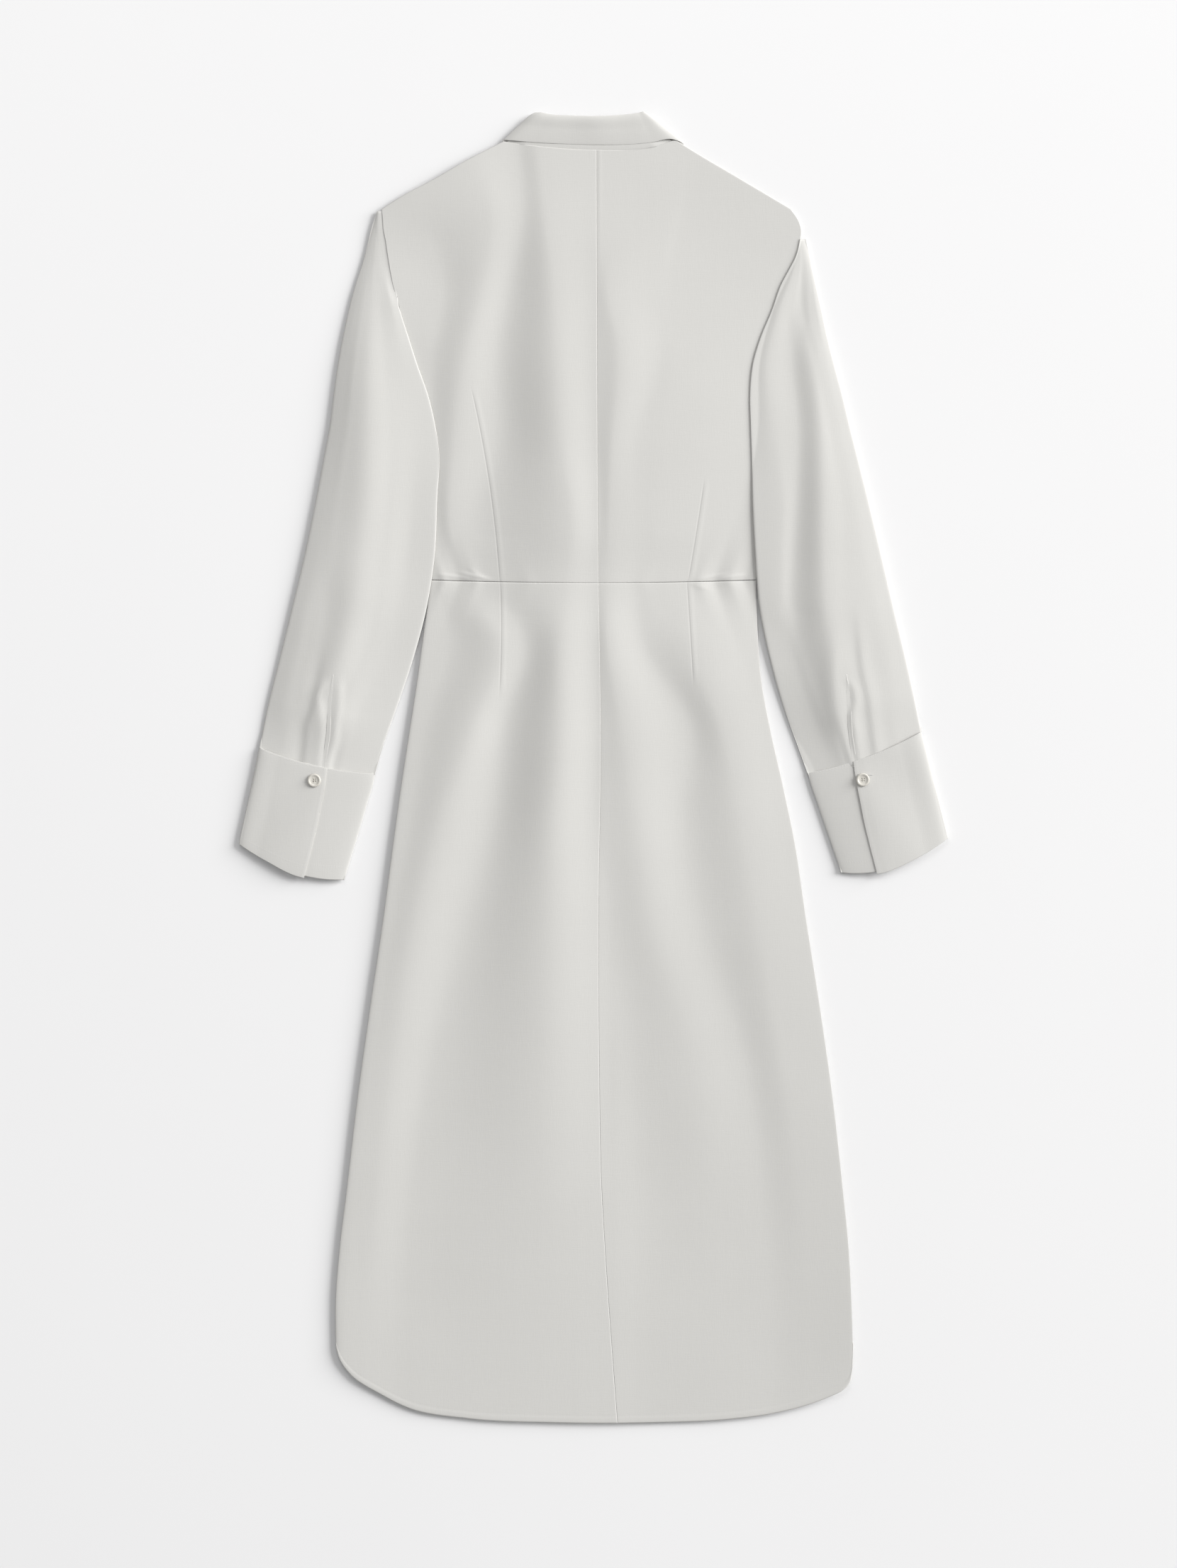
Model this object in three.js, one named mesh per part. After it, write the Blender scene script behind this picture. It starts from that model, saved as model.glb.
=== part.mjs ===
// Shirt dress lying flat with its back up, its sleeves turned down beside the skirt.
// Millimetres: X across the dress, Y from the hem to the collar, Z up from the surface it lies on.
// Every cloth solid is one cut piece with its own wall, sewn to the next across a small gap.
import * as THREE from "three";

// ---- Driving sizes ----
const CLOTH = 1.0; // wall of one layer of cloth
const CUFF_WALL = 1.6; // two layers and the interlining
const GAP = 0.3; // between pieces that meet
const LAYER = CLOTH + GAP; // one layer lying on another
const CENTRE_X = 4; // back and front centre line
const WAIST_Y = 171; // waist seam at the centre line
const WAIST_RISE = 3; // how much higher the waist seam is at the sides
const TIP_Y = 519; // shoulder tips
const UNDERARM_Y = 345; // lower end of the armholes
const BODY_LIFT = 2.4; // how far the back stands off its sewn edges
const EDGE_RUN = 60; // width over which it rises from a side edge
const PLACKET_WIDTH = 30; // front button band
const PLACKET_SEAT = 2.2; // underside of the band over the front buttons
const NECK_LEVEL = 4.4; // underside of the back at the neck seam
const SLEEVE_DEPTH = 2.6; // middle of the lower ply to middle of the upper ply
const BUTTON_RADIUS = 6.2;
const BUTTON_THICK = 1.9;
const FRONT_BUTTONS = 9;
const FRONT_BUTTON_TOP = 492; // y of the highest front button
const FRONT_BUTTON_STEP = 112; // spacing down the front
const CUFF_BUTTON = { left: [-259.4, -12.5], right: [250.1, -11.9] };

// ---- Cloth and button looks ----
const poplin = () => new THREE.MeshStandardMaterial({ color: 0xdcdbd7, roughness: 0.85, metalness: 0 });
const shell = () => new THREE.MeshStandardMaterial({ color: 0xe9e8e3, roughness: 0.35, metalness: 0 });

const group = new THREE.Group();
group.name = "shirt_dress";

// ---- Small helpers ----
const mix = (a, b, t) => a + (b - a) * t;
const ease = (from, to, v) => THREE.MathUtils.smoothstep(v, Math.min(from, to), Math.max(from, to));
const rise = (from, to, v) => (to > from ? ease(from, to, v) : 1 - ease(to, from, v));
const steps = (n) => Array.from({ length: n + 1 }, (_, i) => i / n);

// Joins a table's rows smoothly: the first column is the key, the others come back as a list.
function through(rows) {
  const up = rows[0][0] < rows[rows.length - 1][0] ? rows : [...rows].reverse();
  const slope = (i, c) => {
    const a = up[Math.max(0, i - 1)];
    const b = up[Math.min(up.length - 1, i + 1)];
    return (b[c] - a[c]) / (b[0] - a[0]);
  };
  return (key) => {
    const k = THREE.MathUtils.clamp(key, up[0][0], up[up.length - 1][0]);
    let i = 0;
    while (i < up.length - 2 && up[i + 1][0] < k) i += 1;
    const [p, q] = [up[i], up[i + 1]];
    const run = q[0] - p[0];
    const t = (k - p[0]) / run;
    return p.slice(1).map((_, n) => {
      const c = n + 1;
      const hermite = (2 * t ** 3 - 3 * t ** 2 + 1) * p[c] + (3 * t ** 2 - 2 * t ** 3) * q[c];
      return hermite + run * ((t ** 3 - 2 * t ** 2 + t) * slope(i, c) + (t ** 3 - t ** 2) * slope(i + 1, c));
    });
  };
}

// Closes the body between two grids of points with the same rows and columns.
function closeBetween(name, upper, lower, look) {
  const rows = upper.length;
  const cols = upper[0].length;
  const points = [...upper.flat(), ...lower.flat()];
  const top = (r, c) => r * cols + c;
  const low = (r, c) => rows * cols + top(r, c);
  const faces = [];
  const quad = (a, b, c, d) => faces.push(a, b, c, a, c, d);
  for (let r = 0; r < rows - 1; r += 1) {
    for (let c = 0; c < cols - 1; c += 1) {
      quad(top(r, c), top(r, c + 1), top(r + 1, c + 1), top(r + 1, c));
      quad(low(r, c), low(r + 1, c), low(r + 1, c + 1), low(r, c + 1));
    }
    quad(top(r, 0), top(r + 1, 0), low(r + 1, 0), low(r, 0));
    quad(top(r + 1, cols - 1), top(r, cols - 1), low(r, cols - 1), low(r + 1, cols - 1));
  }
  for (let c = 0; c < cols - 1; c += 1) {
    quad(top(0, c + 1), top(0, c), low(0, c), low(0, c + 1));
    quad(top(rows - 1, c), top(rows - 1, c + 1), low(rows - 1, c + 1), low(rows - 1, c));
  }
  let volume = 0;
  for (let f = 0; f < faces.length; f += 3) {
    const [a, b, c] = [points[faces[f]], points[faces[f + 1]], points[faces[f + 2]]];
    volume += a.dot(b.clone().cross(c));
  }
  if (volume < 0) faces.reverse();
  const geometry = new THREE.BufferGeometry().setFromPoints(points);
  geometry.setIndex(faces);
  geometry.computeVertexNormals();
  const mesh = new THREE.Mesh(geometry, look);
  mesh.name = name;
  group.add(mesh);
}

// A panel between four edges in plan (lists of [x, y]), its underside at the height given.
function panel(name, edge, under) {
  const n = edge.bottom.length - 1;
  const m = edge.left.length - 1;
  const upper = [];
  const lower = [];
  for (let j = 0; j <= m; j += 1) {
    const v = j / m;
    const at = (i, k) => {
      const u = i / n;
      const sides = mix(edge.left[j][k], edge.right[j][k], u);
      const ends = mix(edge.bottom[i][k], edge.top[i][k], v);
      const corners = mix(mix(edge.bottom[0][k], edge.bottom[n][k], u), mix(edge.top[0][k], edge.top[n][k], u), v);
      return sides + ends - corners;
    };
    const plan = edge.bottom.map((_, i) => [at(i, 0), at(i, 1)]);
    lower.push(plan.map(([x, y]) => new THREE.Vector3(x, y, under(x, y))));
    upper.push(plan.map(([x, y]) => new THREE.Vector3(x, y, under(x, y) + CLOTH)));
  }
  closeBetween(name, upper, lower, poplin());
}

// A folded sheet: the wall stands half on either side of a middle surface given as rows of points.
function foldedSheet(name, middle, wall) {
  const side = (sign) => middle.map((row, r) => row.map((p, c) => {
    const along = row[Math.min(c + 1, row.length - 1)].clone().sub(row[Math.max(c - 1, 0)]);
    const next = middle[Math.min(r + 1, middle.length - 1)][c];
    const across = next.clone().sub(middle[Math.max(r - 1, 0)][c]);
    return p.clone().addScaledVector(along.cross(across).normalize(), (sign * wall) / 2);
  }));
  closeBetween(name, side(1), side(-1), poplin());
}

// ---- Outline of the body in plan ----
// y, x of the left edge, x of the right edge: armholes, side seams, then the flared skirt.
const BODY_EDGE = through([
  [TIP_Y, -197, 190],
  [485, -194, 190],
  [446, -186, 187],
  [424, -180, 185],
  [396, -185, 189],
  [UNDERARM_Y, -204, 204],
  [300, -190, 190],
  [240, -168, 169],
  [174, -152, 151.5], // waist
  [127, -157.5, 152.5],
  [77, -164.5, 156.5],
  [38, -170.5, 163.7],
  [-18, -179, 176.2],
  [-144, -196, 198],
  [-224, -207.8, 210.5],
  [-304, -219, 221.8],
  [-393, -229.5, 231.7],
  [-447, -236, 237],
  [-494, -239.6, 240],
  [-540, -239.5, 242],
]);
const leftEdge = (y) => BODY_EDGE(y)[0];
const rightEdge = (y) => BODY_EDGE(y)[1];
// x, y of the back neck seam and of the two shoulder seams
const NECK = through([[-84, 581.5], [-52, 577], [-21, 574.3], [CENTRE_X, 573.5], [31, 573.6], [55, 577], [76, 583]]);
const LEFT_SHOULDER = through([[-197, 519], [-175, 532.6], [-152, 544.5], [-118, 564], [-84, 581.5]]);
const RIGHT_SHOULDER = through([[76, 583], [88, 575.5], [136, 547], [178, 522], [190, 519]]);
// x, y of the hem, low in the middle and curving up to each side seam
const HEM = through([
  [-239.5, -540], [-236, -551], [-227, -564], [-198, -583.5], [-172, -596.5], [-118, -606], [-38, -609.8],
  [14, -610.5], [60, -609.8], [123, -607], [168, -601], [199, -591.5], [232, -577.5], [240, -566], [242, -540],
]);
// x, y of the front neckline, which dips below the back one
const FRONT_NECK = through([[-84, 581.5], [-60, 545], [-30, 523], [CENTRE_X, 516], [35, 523], [58, 546], [76, 583]]);
const waist = (x) => WAIST_Y + WAIST_RISE * ((x - CENTRE_X) / 155) ** 2;

// ---- Heights of the two plies of the body ----
// Lengthwise folds in the back: x at the top and the bottom, their y, half width, height.
const FOLDS = [
  { x: [-90, -105], y: [545, 190], half: 26, height: 0.7 },
  { x: [-60, -62], y: [560, 190], half: 20, height: -0.6 },
  { x: [-28, -30], y: [560, 190], half: 24, height: 0.6 },
  { x: [96, 84], y: [540, 190], half: 26, height: 0.7 },
  { x: [-78, -150], y: [155, -470], half: 30, height: 0.7 },
  { x: [-52, -118], y: [155, -430], half: 26, height: -0.6 },
  { x: [-22, -44], y: [155, -470], half: 34, height: 0.7 },
  { x: [62, 108], y: [155, -380], half: 34, height: 0.7 },
  { x: [34, 62], y: [155, -380], half: 24, height: -0.6 },
];
function folds(x, y) {
  return FOLDS.reduce((sum, f) => {
    const v = (f.y[0] - y) / (f.y[0] - f.y[1]);
    if (v < 0 || v > 1) return sum;
    const off = (x - mix(f.x[0], f.x[1], v)) / f.half;
    return Math.abs(off) > 1 ? sum : sum + f.height * Math.sin(Math.PI * v) * Math.cos((Math.PI * off) / 2) ** 2;
  }, 0);
}
const shoulder = (x) => (x < CENTRE_X ? LEFT_SHOULDER(x)[0] : RIGHT_SHOULDER(x)[0]);
const inward = (x, y) => Math.min(x - leftEdge(y), rightEdge(y) - x);
const placketZone = (x) => rise(62, 22, Math.abs(x - CENTRE_X));
const collarZone = (x, y) => rise(430, 455, y) * rise(128, 100, Math.abs(x - CENTRE_X));

// Underside of the back: sewn close at its edges, standing off inside, high over the button band.
function backUnder(x, y) {
  const edge = mix(LAYER, NECK_LEVEL, rise(150, 85, Math.abs(x - CENTRE_X)) * rise(500, 560, y));
  const off = rise(0, EDGE_RUN, inward(x, y)) * mix(rise(-612, -560, y), 1, placketZone(x));
  const belowTop = rise(0, 40, (Math.abs(x - CENTRE_X) > 80 ? shoulder(x) : NECK(x)[0]) - y);
  const middle = mix(LAYER + BODY_LIFT + folds(x, y), PLACKET_SEAT + 2 * LAYER + 0.1, placketZone(x));
  return mix(edge, Math.max(edge, middle), off * (Math.abs(x - CENTRE_X) > 80 ? belowTop : 1));
}
// Underside of the front: on the surface, rising to the button band and over the collar points.
function frontUnder(x, y) {
  const bandEdge = PLACKET_WIDTH / 2;
  const side = x < CENTRE_X ? PLACKET_SEAT + LAYER : PLACKET_SEAT;
  const band = side * rise(bandEdge + 20, bandEdge, Math.abs(x - CENTRE_X));
  const seam = Math.max(0, backUnder(x, y) - LAYER) * rise(28, 4, shoulder(x) - y) * rise(70, 84, Math.abs(x - CENTRE_X));
  return Math.max(band, LAYER * collarZone(x, y), seam);
}

// ---- Back and front panels ----
const sideSteps = (edge, from, to, n) => steps(n).map((t) => { const y = mix(from, to, t); return [edge(y), y]; });
const across = (curve, from, to, n) => steps(n).map((t) => { const x = mix(from, to, t); return [x, curve(x)]; });
const straight = (x, from, to, n) => steps(n).map((t) => [x, mix(from, to, t)]);
const joined = (first, second) => [...first, ...second.slice(1)];
const shift = (list, dx, dy) => list.map(([x, y]) => [x + dx, y + dy]);
const HALF = GAP / 2;
const neckY = (x) => NECK(x)[0];
const frontNeckY = (x) => FRONT_NECK(x)[0];
const hemY = (x) => HEM(x)[0];

function backBodice(name, edge, neckX, tipX, slope) {
  const centre = CENTRE_X + Math.sign(neckX) * HALF;
  const base = edge(WAIST_Y + WAIST_RISE);
  const top = joined(across(neckY, centre, neckX, 4), across(slope, neckX, tipX, 6));
  const waistLine = shift(across(waist, centre, base, 10), 0, HALF);
  const inner = straight(centre, waistLine[0][1], top[0][1], 14);
  const outer = joined(sideSteps(edge, waistLine[10][1], UNDERARM_Y, 6), sideSteps(edge, UNDERARM_Y, TIP_Y, 8));
  const flip = neckX < 0;
  panel(name, {
    bottom: flip ? [...waistLine].reverse() : waistLine,
    top: flip ? [...top].reverse() : top,
    left: flip ? outer : inner,
    right: flip ? inner : outer,
  }, backUnder);
}
backBodice("back_bodice_left", leftEdge, -84, -197, (x) => LEFT_SHOULDER(x)[0]);
backBodice("back_bodice_right", rightEdge, 76, 190, (x) => RIGHT_SHOULDER(x)[0]);

function frontBodice(name, edge, neckX, tipX, slope) {
  const centre = CENTRE_X + Math.sign(neckX) * (PLACKET_WIDTH / 2 + GAP);
  const base = edge(WAIST_Y + WAIST_RISE);
  const top = joined(across(frontNeckY, centre, neckX, 4), across(slope, neckX, tipX, 4));
  const waistLine = shift(across(waist, centre, base, 8), 0, HALF);
  const inner = straight(centre, waistLine[0][1], top[0][1], 12);
  const outer = joined(sideSteps(edge, waistLine[8][1], UNDERARM_Y, 4), sideSteps(edge, UNDERARM_Y, TIP_Y, 8));
  const flip = neckX < 0;
  panel(name, {
    bottom: flip ? [...waistLine].reverse() : waistLine,
    top: flip ? [...top].reverse() : top,
    left: flip ? outer : inner,
    right: flip ? inner : outer,
  }, frontUnder);
}
frontBodice("front_bodice_left", leftEdge, -84, -197, (x) => LEFT_SHOULDER(x)[0]);
frontBodice("front_bodice_right", rightEdge, 76, 190, (x) => RIGHT_SHOULDER(x)[0]);

function skirt(name, edge, sign, centreGap, cols, under) {
  const centre = CENTRE_X + sign * centreGap;
  const waistLine = shift(across(waist, centre, edge(WAIST_Y + WAIST_RISE), cols), 0, -HALF);
  const hem = across(hemY, centre, edge(-540), cols);
  const inner = straight(centre, hem[0][1], waistLine[0][1], 14);
  const outer = sideSteps(edge, -540, waistLine[cols][1], 14);
  panel(name, {
    bottom: sign < 0 ? [...hem].reverse() : hem,
    top: sign < 0 ? [...waistLine].reverse() : waistLine,
    left: sign < 0 ? outer : inner,
    right: sign < 0 ? inner : outer,
  }, under);
}
skirt("back_skirt_left", leftEdge, -1, HALF, 10, backUnder);
skirt("back_skirt_right", rightEdge, 1, HALF, 10, backUnder);
skirt("front_skirt_left", leftEdge, -1, PLACKET_WIDTH / 2 + GAP, 6, frontUnder);
skirt("front_skirt_right", rightEdge, 1, PLACKET_WIDTH / 2 + GAP, 6, frontUnder);

// ---- Front button band: two strips, the outer one resting on the buttons ----
function buttonBand(name, under) {
  const [from, to] = [CENTRE_X - PLACKET_WIDTH / 2, CENTRE_X + PLACKET_WIDTH / 2];
  const hem = across(hemY, from, to, 2);
  const top = across(frontNeckY, from, to, 2);
  panel(name, {
    bottom: hem,
    top: shift(top, 0, -GAP),
    left: straight(from, hem[0][1], top[0][1] - GAP, 12),
    right: straight(to, hem[2][1], top[2][1] - GAP, 12),
  }, () => under);
}
buttonBand("placket_over", PLACKET_SEAT);
buttonBand("placket_under", PLACKET_SEAT + LAYER);

// ---- Collar: stand sewn round the neck, fall turned down over it; both fold under at the sides ----
// A band from the left front end round the back to the right front end. Each row of its table is
// a station: lower edge x and y, upper edge x and y, height of the middle of the wall.
function band(name, table, turn) {
  const rows = [];
  const station = (lx, ly, ux, uy, z) => rows.push(steps(3).map((t) => new THREE.Vector3(mix(lx, ux, t), mix(ly, uy, t), z)));
  table.front.left.forEach((row) => station(...row));
  const halfTurn = (fold, outwards, startLow) => steps(6).slice(1, 6).forEach((t) => {
    const angle = Math.PI * (startLow ? t : 1 - t);
    const out = turn.radius * Math.sin(angle);
    const z = turn.low + turn.radius * (1 - Math.cos(angle));
    station(fold[0] + outwards[0] * out, fold[1] + outwards[1] * out, fold[2] + outwards[0] * out, fold[3] + outwards[1] * out, z);
  });
  halfTurn(table.fold.left, table.out.left, true);
  table.back.forEach((row) => station(...row));
  halfTurn(table.fold.right, table.out.right, false);
  table.front.right.forEach((row) => station(...row));
  foldedSheet(name, rows, CLOTH);
}
const FOLD_OUT = { left: [-0.68, 0.73], right: [0.73, 0.68] };
const STAND = { low: 1.8, radius: 1.55 };
const FALL = { low: 0.5, radius: 2.95 };
const standBack = STAND.low + 2 * STAND.radius;
const fallBack = FALL.low + 2 * FALL.radius;
// The stand's lower edge follows the neck seams, station by station with the panels it is sewn to.
const sewn = (curve, from, to, upperFrom, upperTo, n, level) => steps(n).map((t) => {
  const x = mix(from, to, t);
  return [x, curve(x) + GAP, mix(upperFrom[0], upperTo[0], t), mix(upperFrom[1], upperTo[1], t), level(x)];
});
const bandStart = PLACKET_WIDTH / 2 + GAP;
const STAND_FOLD = { left: [-81, 582, -54, 606.5], right: [72.5, 583.5, 48, 607] };
const overLevel = (x) => STAND.low + 0.9 * rise(38, bandStart + 3, x - CENTRE_X);
const underLevel = (x) => STAND.low + 2.2 * rise(40, bandStart + 3, CENTRE_X - x);
band("collar_stand", {
  front: {
    left: [
      [19, 518, 19, 548, 4.0],
      ...sewn(frontNeckY, CENTRE_X - bandStart, -65.8, [-11.3, 548], [-46, 590], 3, underLevel),
      [...STAND_FOLD.left, STAND.low],
    ],
    right: [
      [...STAND_FOLD.right, STAND.low],
      ...sewn(frontNeckY, 61.8, CENTRE_X + bandStart, [43, 590], [19.3, 548], 3, overLevel),
      [-10, 518, -10, 548, 2.7],
    ],
  },
  fold: STAND_FOLD,
  out: FOLD_OUT,
  back: [
    [...STAND_FOLD.left, standBack],
    ...sewn(neckY, -62, CENTRE_X, [-44, 605], [3, 602.3], 3, () => standBack),
    ...sewn(neckY, 22, 58, [18, 603], [40, 606], 2, () => standBack),
    [...STAND_FOLD.right, standBack],
  ],
}, STAND);
band("collar_fall", {
  front: {
    left: [[-48, 482, -14, 542, 0.5], [-66, 530, -34, 574, 0.5], [-83, 582, -54, 608, 0.5]],
    right: [[72, 584, 47.5, 608.5, 0.5], [64, 530, 38, 574, 0.5], [56, 482, 22, 542, 0.5]],
  },
  fold: { left: [-83, 582, -54, 608], right: [72, 584, 47.5, 608.5] },
  out: FOLD_OUT,
  back: [
    [-83, 582, -54, 608, fallBack], [-56, 580.5, -38, 606.5, fallBack], [-21, 578.8, -19, 605.5, fallBack],
    [4, 578.2, 2, 605, fallBack], [28, 578.4, 24, 606, fallBack], [52, 580, 40, 608, fallBack],
    [72, 584, 47.5, 608.5, fallBack],
  ],
}, FALL);

// ---- Sleeves: one piece each, rolled into a flat tube that lies partly over the body ----
// y, then x of the left sleeve's outer and inner edge and of the right sleeve's inner and outer edge
const SLEEVE_EDGE = through([
  [519, -203.5, -199, 191.8, 195.8], [500, -207.5, -197.4, 191, 198.5], [475, -213, -193.8, 186.5, 201],
  [450, -221, -188.4, 175, 206.5], [424, -228, -179.7, 165.5, 212.5], [400, -233.2, -172, 155.5, 217.7],
  [375, -237.8, -164, 148, 224], [345, -242, -153.5, 145.4, 232], [320, -245, -147.5, 146, 238],
  [290, -250.5, -143.4, 147, 245.5], [250, -258, -145.2, 147.8, 255.5], [195, -269.3, -147.8, 150.5, 268.6],
  [146, -281, -155.5, 154.5, 280], [100, -292.2, -167.8, 164, 291], [50, -304.5, -184.8, 178.6, 301.8],
  [20, -310.4, -195.5, 189.5, 307.5], [-6, -316, -202.8, 199.3, 313],
]);
// Which columns each sleeve uses, the y of its cuff seam at the outer and inner edge, and the span
// of y over which it climbs from beside the body to lying on it.
const SLEEVES = {
  left: { outer: 0, inner: 1, end: [18.8, -5.6], climb: [470, 430], edge: leftEdge },
  right: { outer: 3, inner: 2, end: [33.3, -5], climb: [520, 495], edge: rightEdge },
};
const SAG = 5; // how far the cuff seam bows towards the hand
const CLEAR = 0.45; // extra room between the curved body and the sleeve on it
const SHOULDER_OUT = 9; // the sleeve is at full height this far outside the body's edge
// Height of the body's upper face, fading to the surface over the run given outside its edge.
function bodyHeight(x, y, run, climb) {
  const inside = inward(x, y);
  const top = (inside > 0 ? backUnder(x, y) : LAYER) + LAYER + CLEAR;
  return top * rise(-run, -SHOULDER_OUT, inside) * rise(climb[0], climb[1], y);
}
// Lengthwise folds of the upper ply: share of the width, share of the length where it starts, height.
const SLEEVE_FOLDS = [[0.3, 0.05, 0.5], [0.62, 0.2, 0.6], [0.45, 0.7, 0.5]];
function upperPly(x, y, share, down, climb) {
  const puff = 0.9 * Math.sin(Math.PI * share) * Math.sin(Math.PI * Math.min(1, 0.1 + down));
  const ridges = SLEEVE_FOLDS.reduce((sum, [at, from, height]) => {
    const near = Math.max(0, 1 - Math.abs(share - at) / 0.12);
    return sum + height * near * rise(from, from + 0.2, down) * rise(1, 0.93, down);
  }, 0);
  return CLOTH / 2 + SLEEVE_DEPTH + bodyHeight(x, y, 36, climb) + puff + ridges;
}

const ARMHOLE_STEPS = 8;
const TUBE_STEPS = 8;
function sleeve(name, { outer, inner, end, climb, edge }) {
  const rows = steps(ARMHOLE_STEPS + TUBE_STEPS).map((down, k) => {
    const open = k < ARMHOLE_STEPS; // the armhole still parts the lower ply
    const t = open ? 0 : (k - ARMHOLE_STEPS) / TUBE_STEPS;
    const armY = k === 0 ? TIP_Y - 8 : mix(TIP_Y, UNDERARM_Y, k / ARMHOLE_STEPS);
    const [outY, inY] = open ? [armY, armY] : [mix(UNDERARM_Y, end[0], t), mix(UNDERARM_Y, end[1], t)];
    const [ox, ix] = [SLEEVE_EDGE(outY)[outer], SLEEVE_EDGE(inY)[inner]];
    const width = Math.hypot(ix - ox, inY - outY);
    const sag = SAG * rise(0.85, 1, down);
    const plan = (share) => [mix(ox, ix, share), mix(outY, inY, share) - sag * 4 * share * (1 - share)];
    const bodyEdge = (edge(mix(outY, inY, 0.6)) - ox) / (ix - ox);
    const seam = open ? bodyEdge : mix(bodyEdge, mix(0.5, 0.8, t), rise(0, 0.2, t));
    const turnShare = 1.4 / width;
    const margin = open ? 1.2 : HALF;
    const frontEnd = Math.min(seam, 1 - 0.5 / width) - margin / width;
    const backEnd = Math.min(seam + HALF / width, 1 - 4.5 / width);
    const low = (share) => CLOTH / 2 + (open ? 0 : bodyHeight(...plan(share), 24, climb));
    const back = (share) => CLOTH / 2 + Math.max(bodyHeight(...plan(share), 24, climb), open ? LAYER : 0);
    const high = (share) => upperPly(...plan(share), share, down, climb);
    const point = (share, z) => new THREE.Vector3(...plan(share), z);
    const turn = (flip, from, to) => steps(4).slice(1, 4).map((a) => {
      const out = turnShare * (1 - Math.sin(Math.PI * a));
      const share = flip ? 1 - out : out;
      return point(share, mix(from(share), to(share), (1 - Math.cos(Math.PI * a)) / 2));
    });
    const run = (n, from, to, height) => steps(n).map((a) => point(mix(from, to, a), height(mix(from, to, a))));
    // the lower ply bends where the body's edge lies under it
    const bend = THREE.MathUtils.clamp(bodyEdge - SHOULDER_OUT / width, turnShare + 0.3, frontEnd - 0.05);
    return [
      ...run(2, frontEnd, bend, low),
      ...run(3, bend, turnShare, low).slice(1),
      ...turn(false, low, high),
      ...run(8, turnShare, 1 - turnShare, high),
      ...turn(true, high, back),
      ...run(3, 1 - turnShare, backEnd, back),
    ];
  });
  foldedSheet(name, rows, CLOTH);
}
sleeve("sleeve_left", SLEEVES.left);
sleeve("sleeve_right", SLEEVES.right);

// ---- Cuffs: a stiff band wrapped round, its upper end lapped over the lower one and buttoned ----
// Outer and inner edges from the sleeve seam to the hand: outer x and y, inner x and y, sag.
const CUFFS = {
  left: {
    overlap: 0.6,
    table: [
      [-310.9, 18.2, -202.9, -6.1, 5], [-314.5, 0, -205.6, -19, 6], [-318.8, -20, -210.5, -34.5, 7],
      [-324, -44, -216.4, -55, 8], [-330, -71.3, -231.7, -105, 9.5],
    ],
  },
  right: {
    overlap: 0.637,
    table: [
      [305.1, 32.9, 199, -5.5, 5], [309.5, 17, 202.8, -19, 6.5], [315, -6, 209, -36.5, 8],
      [321, -30, 216, -57, 9.5], [330, -66, 230.2, -98.3, 11],
    ],
  },
};
const CUFF_LEVEL = { low: CUFF_WALL / 2, under: 2.9, over: 4.8 };
function cuff(name, { table, overlap }) {
  const rows = table.map(([ox, oy, ix, iy, sag]) => {
    const width = Math.hypot(ix - ox, iy - oy);
    const point = (share, z) => new THREE.Vector3(
      mix(ox, ix, share), mix(oy, iy, share) - sag * 4 * share * (1 - share), z);
    const turn = (radius, flip, from, to) => steps(6).slice(1, 6).map((t) => {
      const out = (radius / width) * (1 - Math.sin(Math.PI * t));
      return point(flip ? 1 - out : out, mix(from, to, (1 - Math.cos(Math.PI * t)) / 2));
    });
    const run = (n, from, to, z) => steps(n).map((t) => point(mix(from, to, t), z));
    const inRadius = (CUFF_LEVEL.under - CUFF_LEVEL.low) / 2;
    const outRadius = (CUFF_LEVEL.over - CUFF_LEVEL.low) / 2;
    return [
      ...run(3, overlap - 22 / width, 1 - inRadius / width, CUFF_LEVEL.under),
      ...turn(inRadius, true, CUFF_LEVEL.under, CUFF_LEVEL.low),
      ...run(5, 1 - inRadius / width, outRadius / width, CUFF_LEVEL.low),
      ...turn(outRadius, false, CUFF_LEVEL.low, CUFF_LEVEL.over),
      ...run(4, outRadius / width, overlap, CUFF_LEVEL.over),
    ];
  });
  foldedSheet(name, rows, CUFF_WALL);
}
cuff("cuff_left", CUFFS.left);
cuff("cuff_right", CUFFS.right);

// ---- Binding of the slit above each cuff, lying on the sleeve ----
// x, y up the middle of the binding from the cuff seam
const SLIT_WIDTH = 7;
function slitBinding(name, table, { outer, inner, climb }) {
  const row = (x, y, lift) => [-SLIT_WIDTH / 2, 0, SLIT_WIDTH / 2].map((dx) => {
    const edges = SLEEVE_EDGE(y);
    const share = (x + dx - edges[outer]) / (edges[inner] - edges[outer]);
    const seat = upperPly(x + dx, y, share, 0.9, climb) + CLOTH / 2;
    return new THREE.Vector3(x + dx, y, seat + lift);
  });
  const lower = table.map(([x, y]) => row(x, y, GAP));
  const upper = table.map(([x, y]) => row(x, y, LAYER));
  closeBetween(name, upper, lower, poplin());
}
slitBinding("slit_binding_left", [[-244, 6], [-241, 30], [-238, 58], [-238, 88]], SLEEVES.left);
slitBinding("slit_binding_right", [[235, 8], [228, 32], [222.5, 60], [220, 92]], SLEEVES.right);

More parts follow.
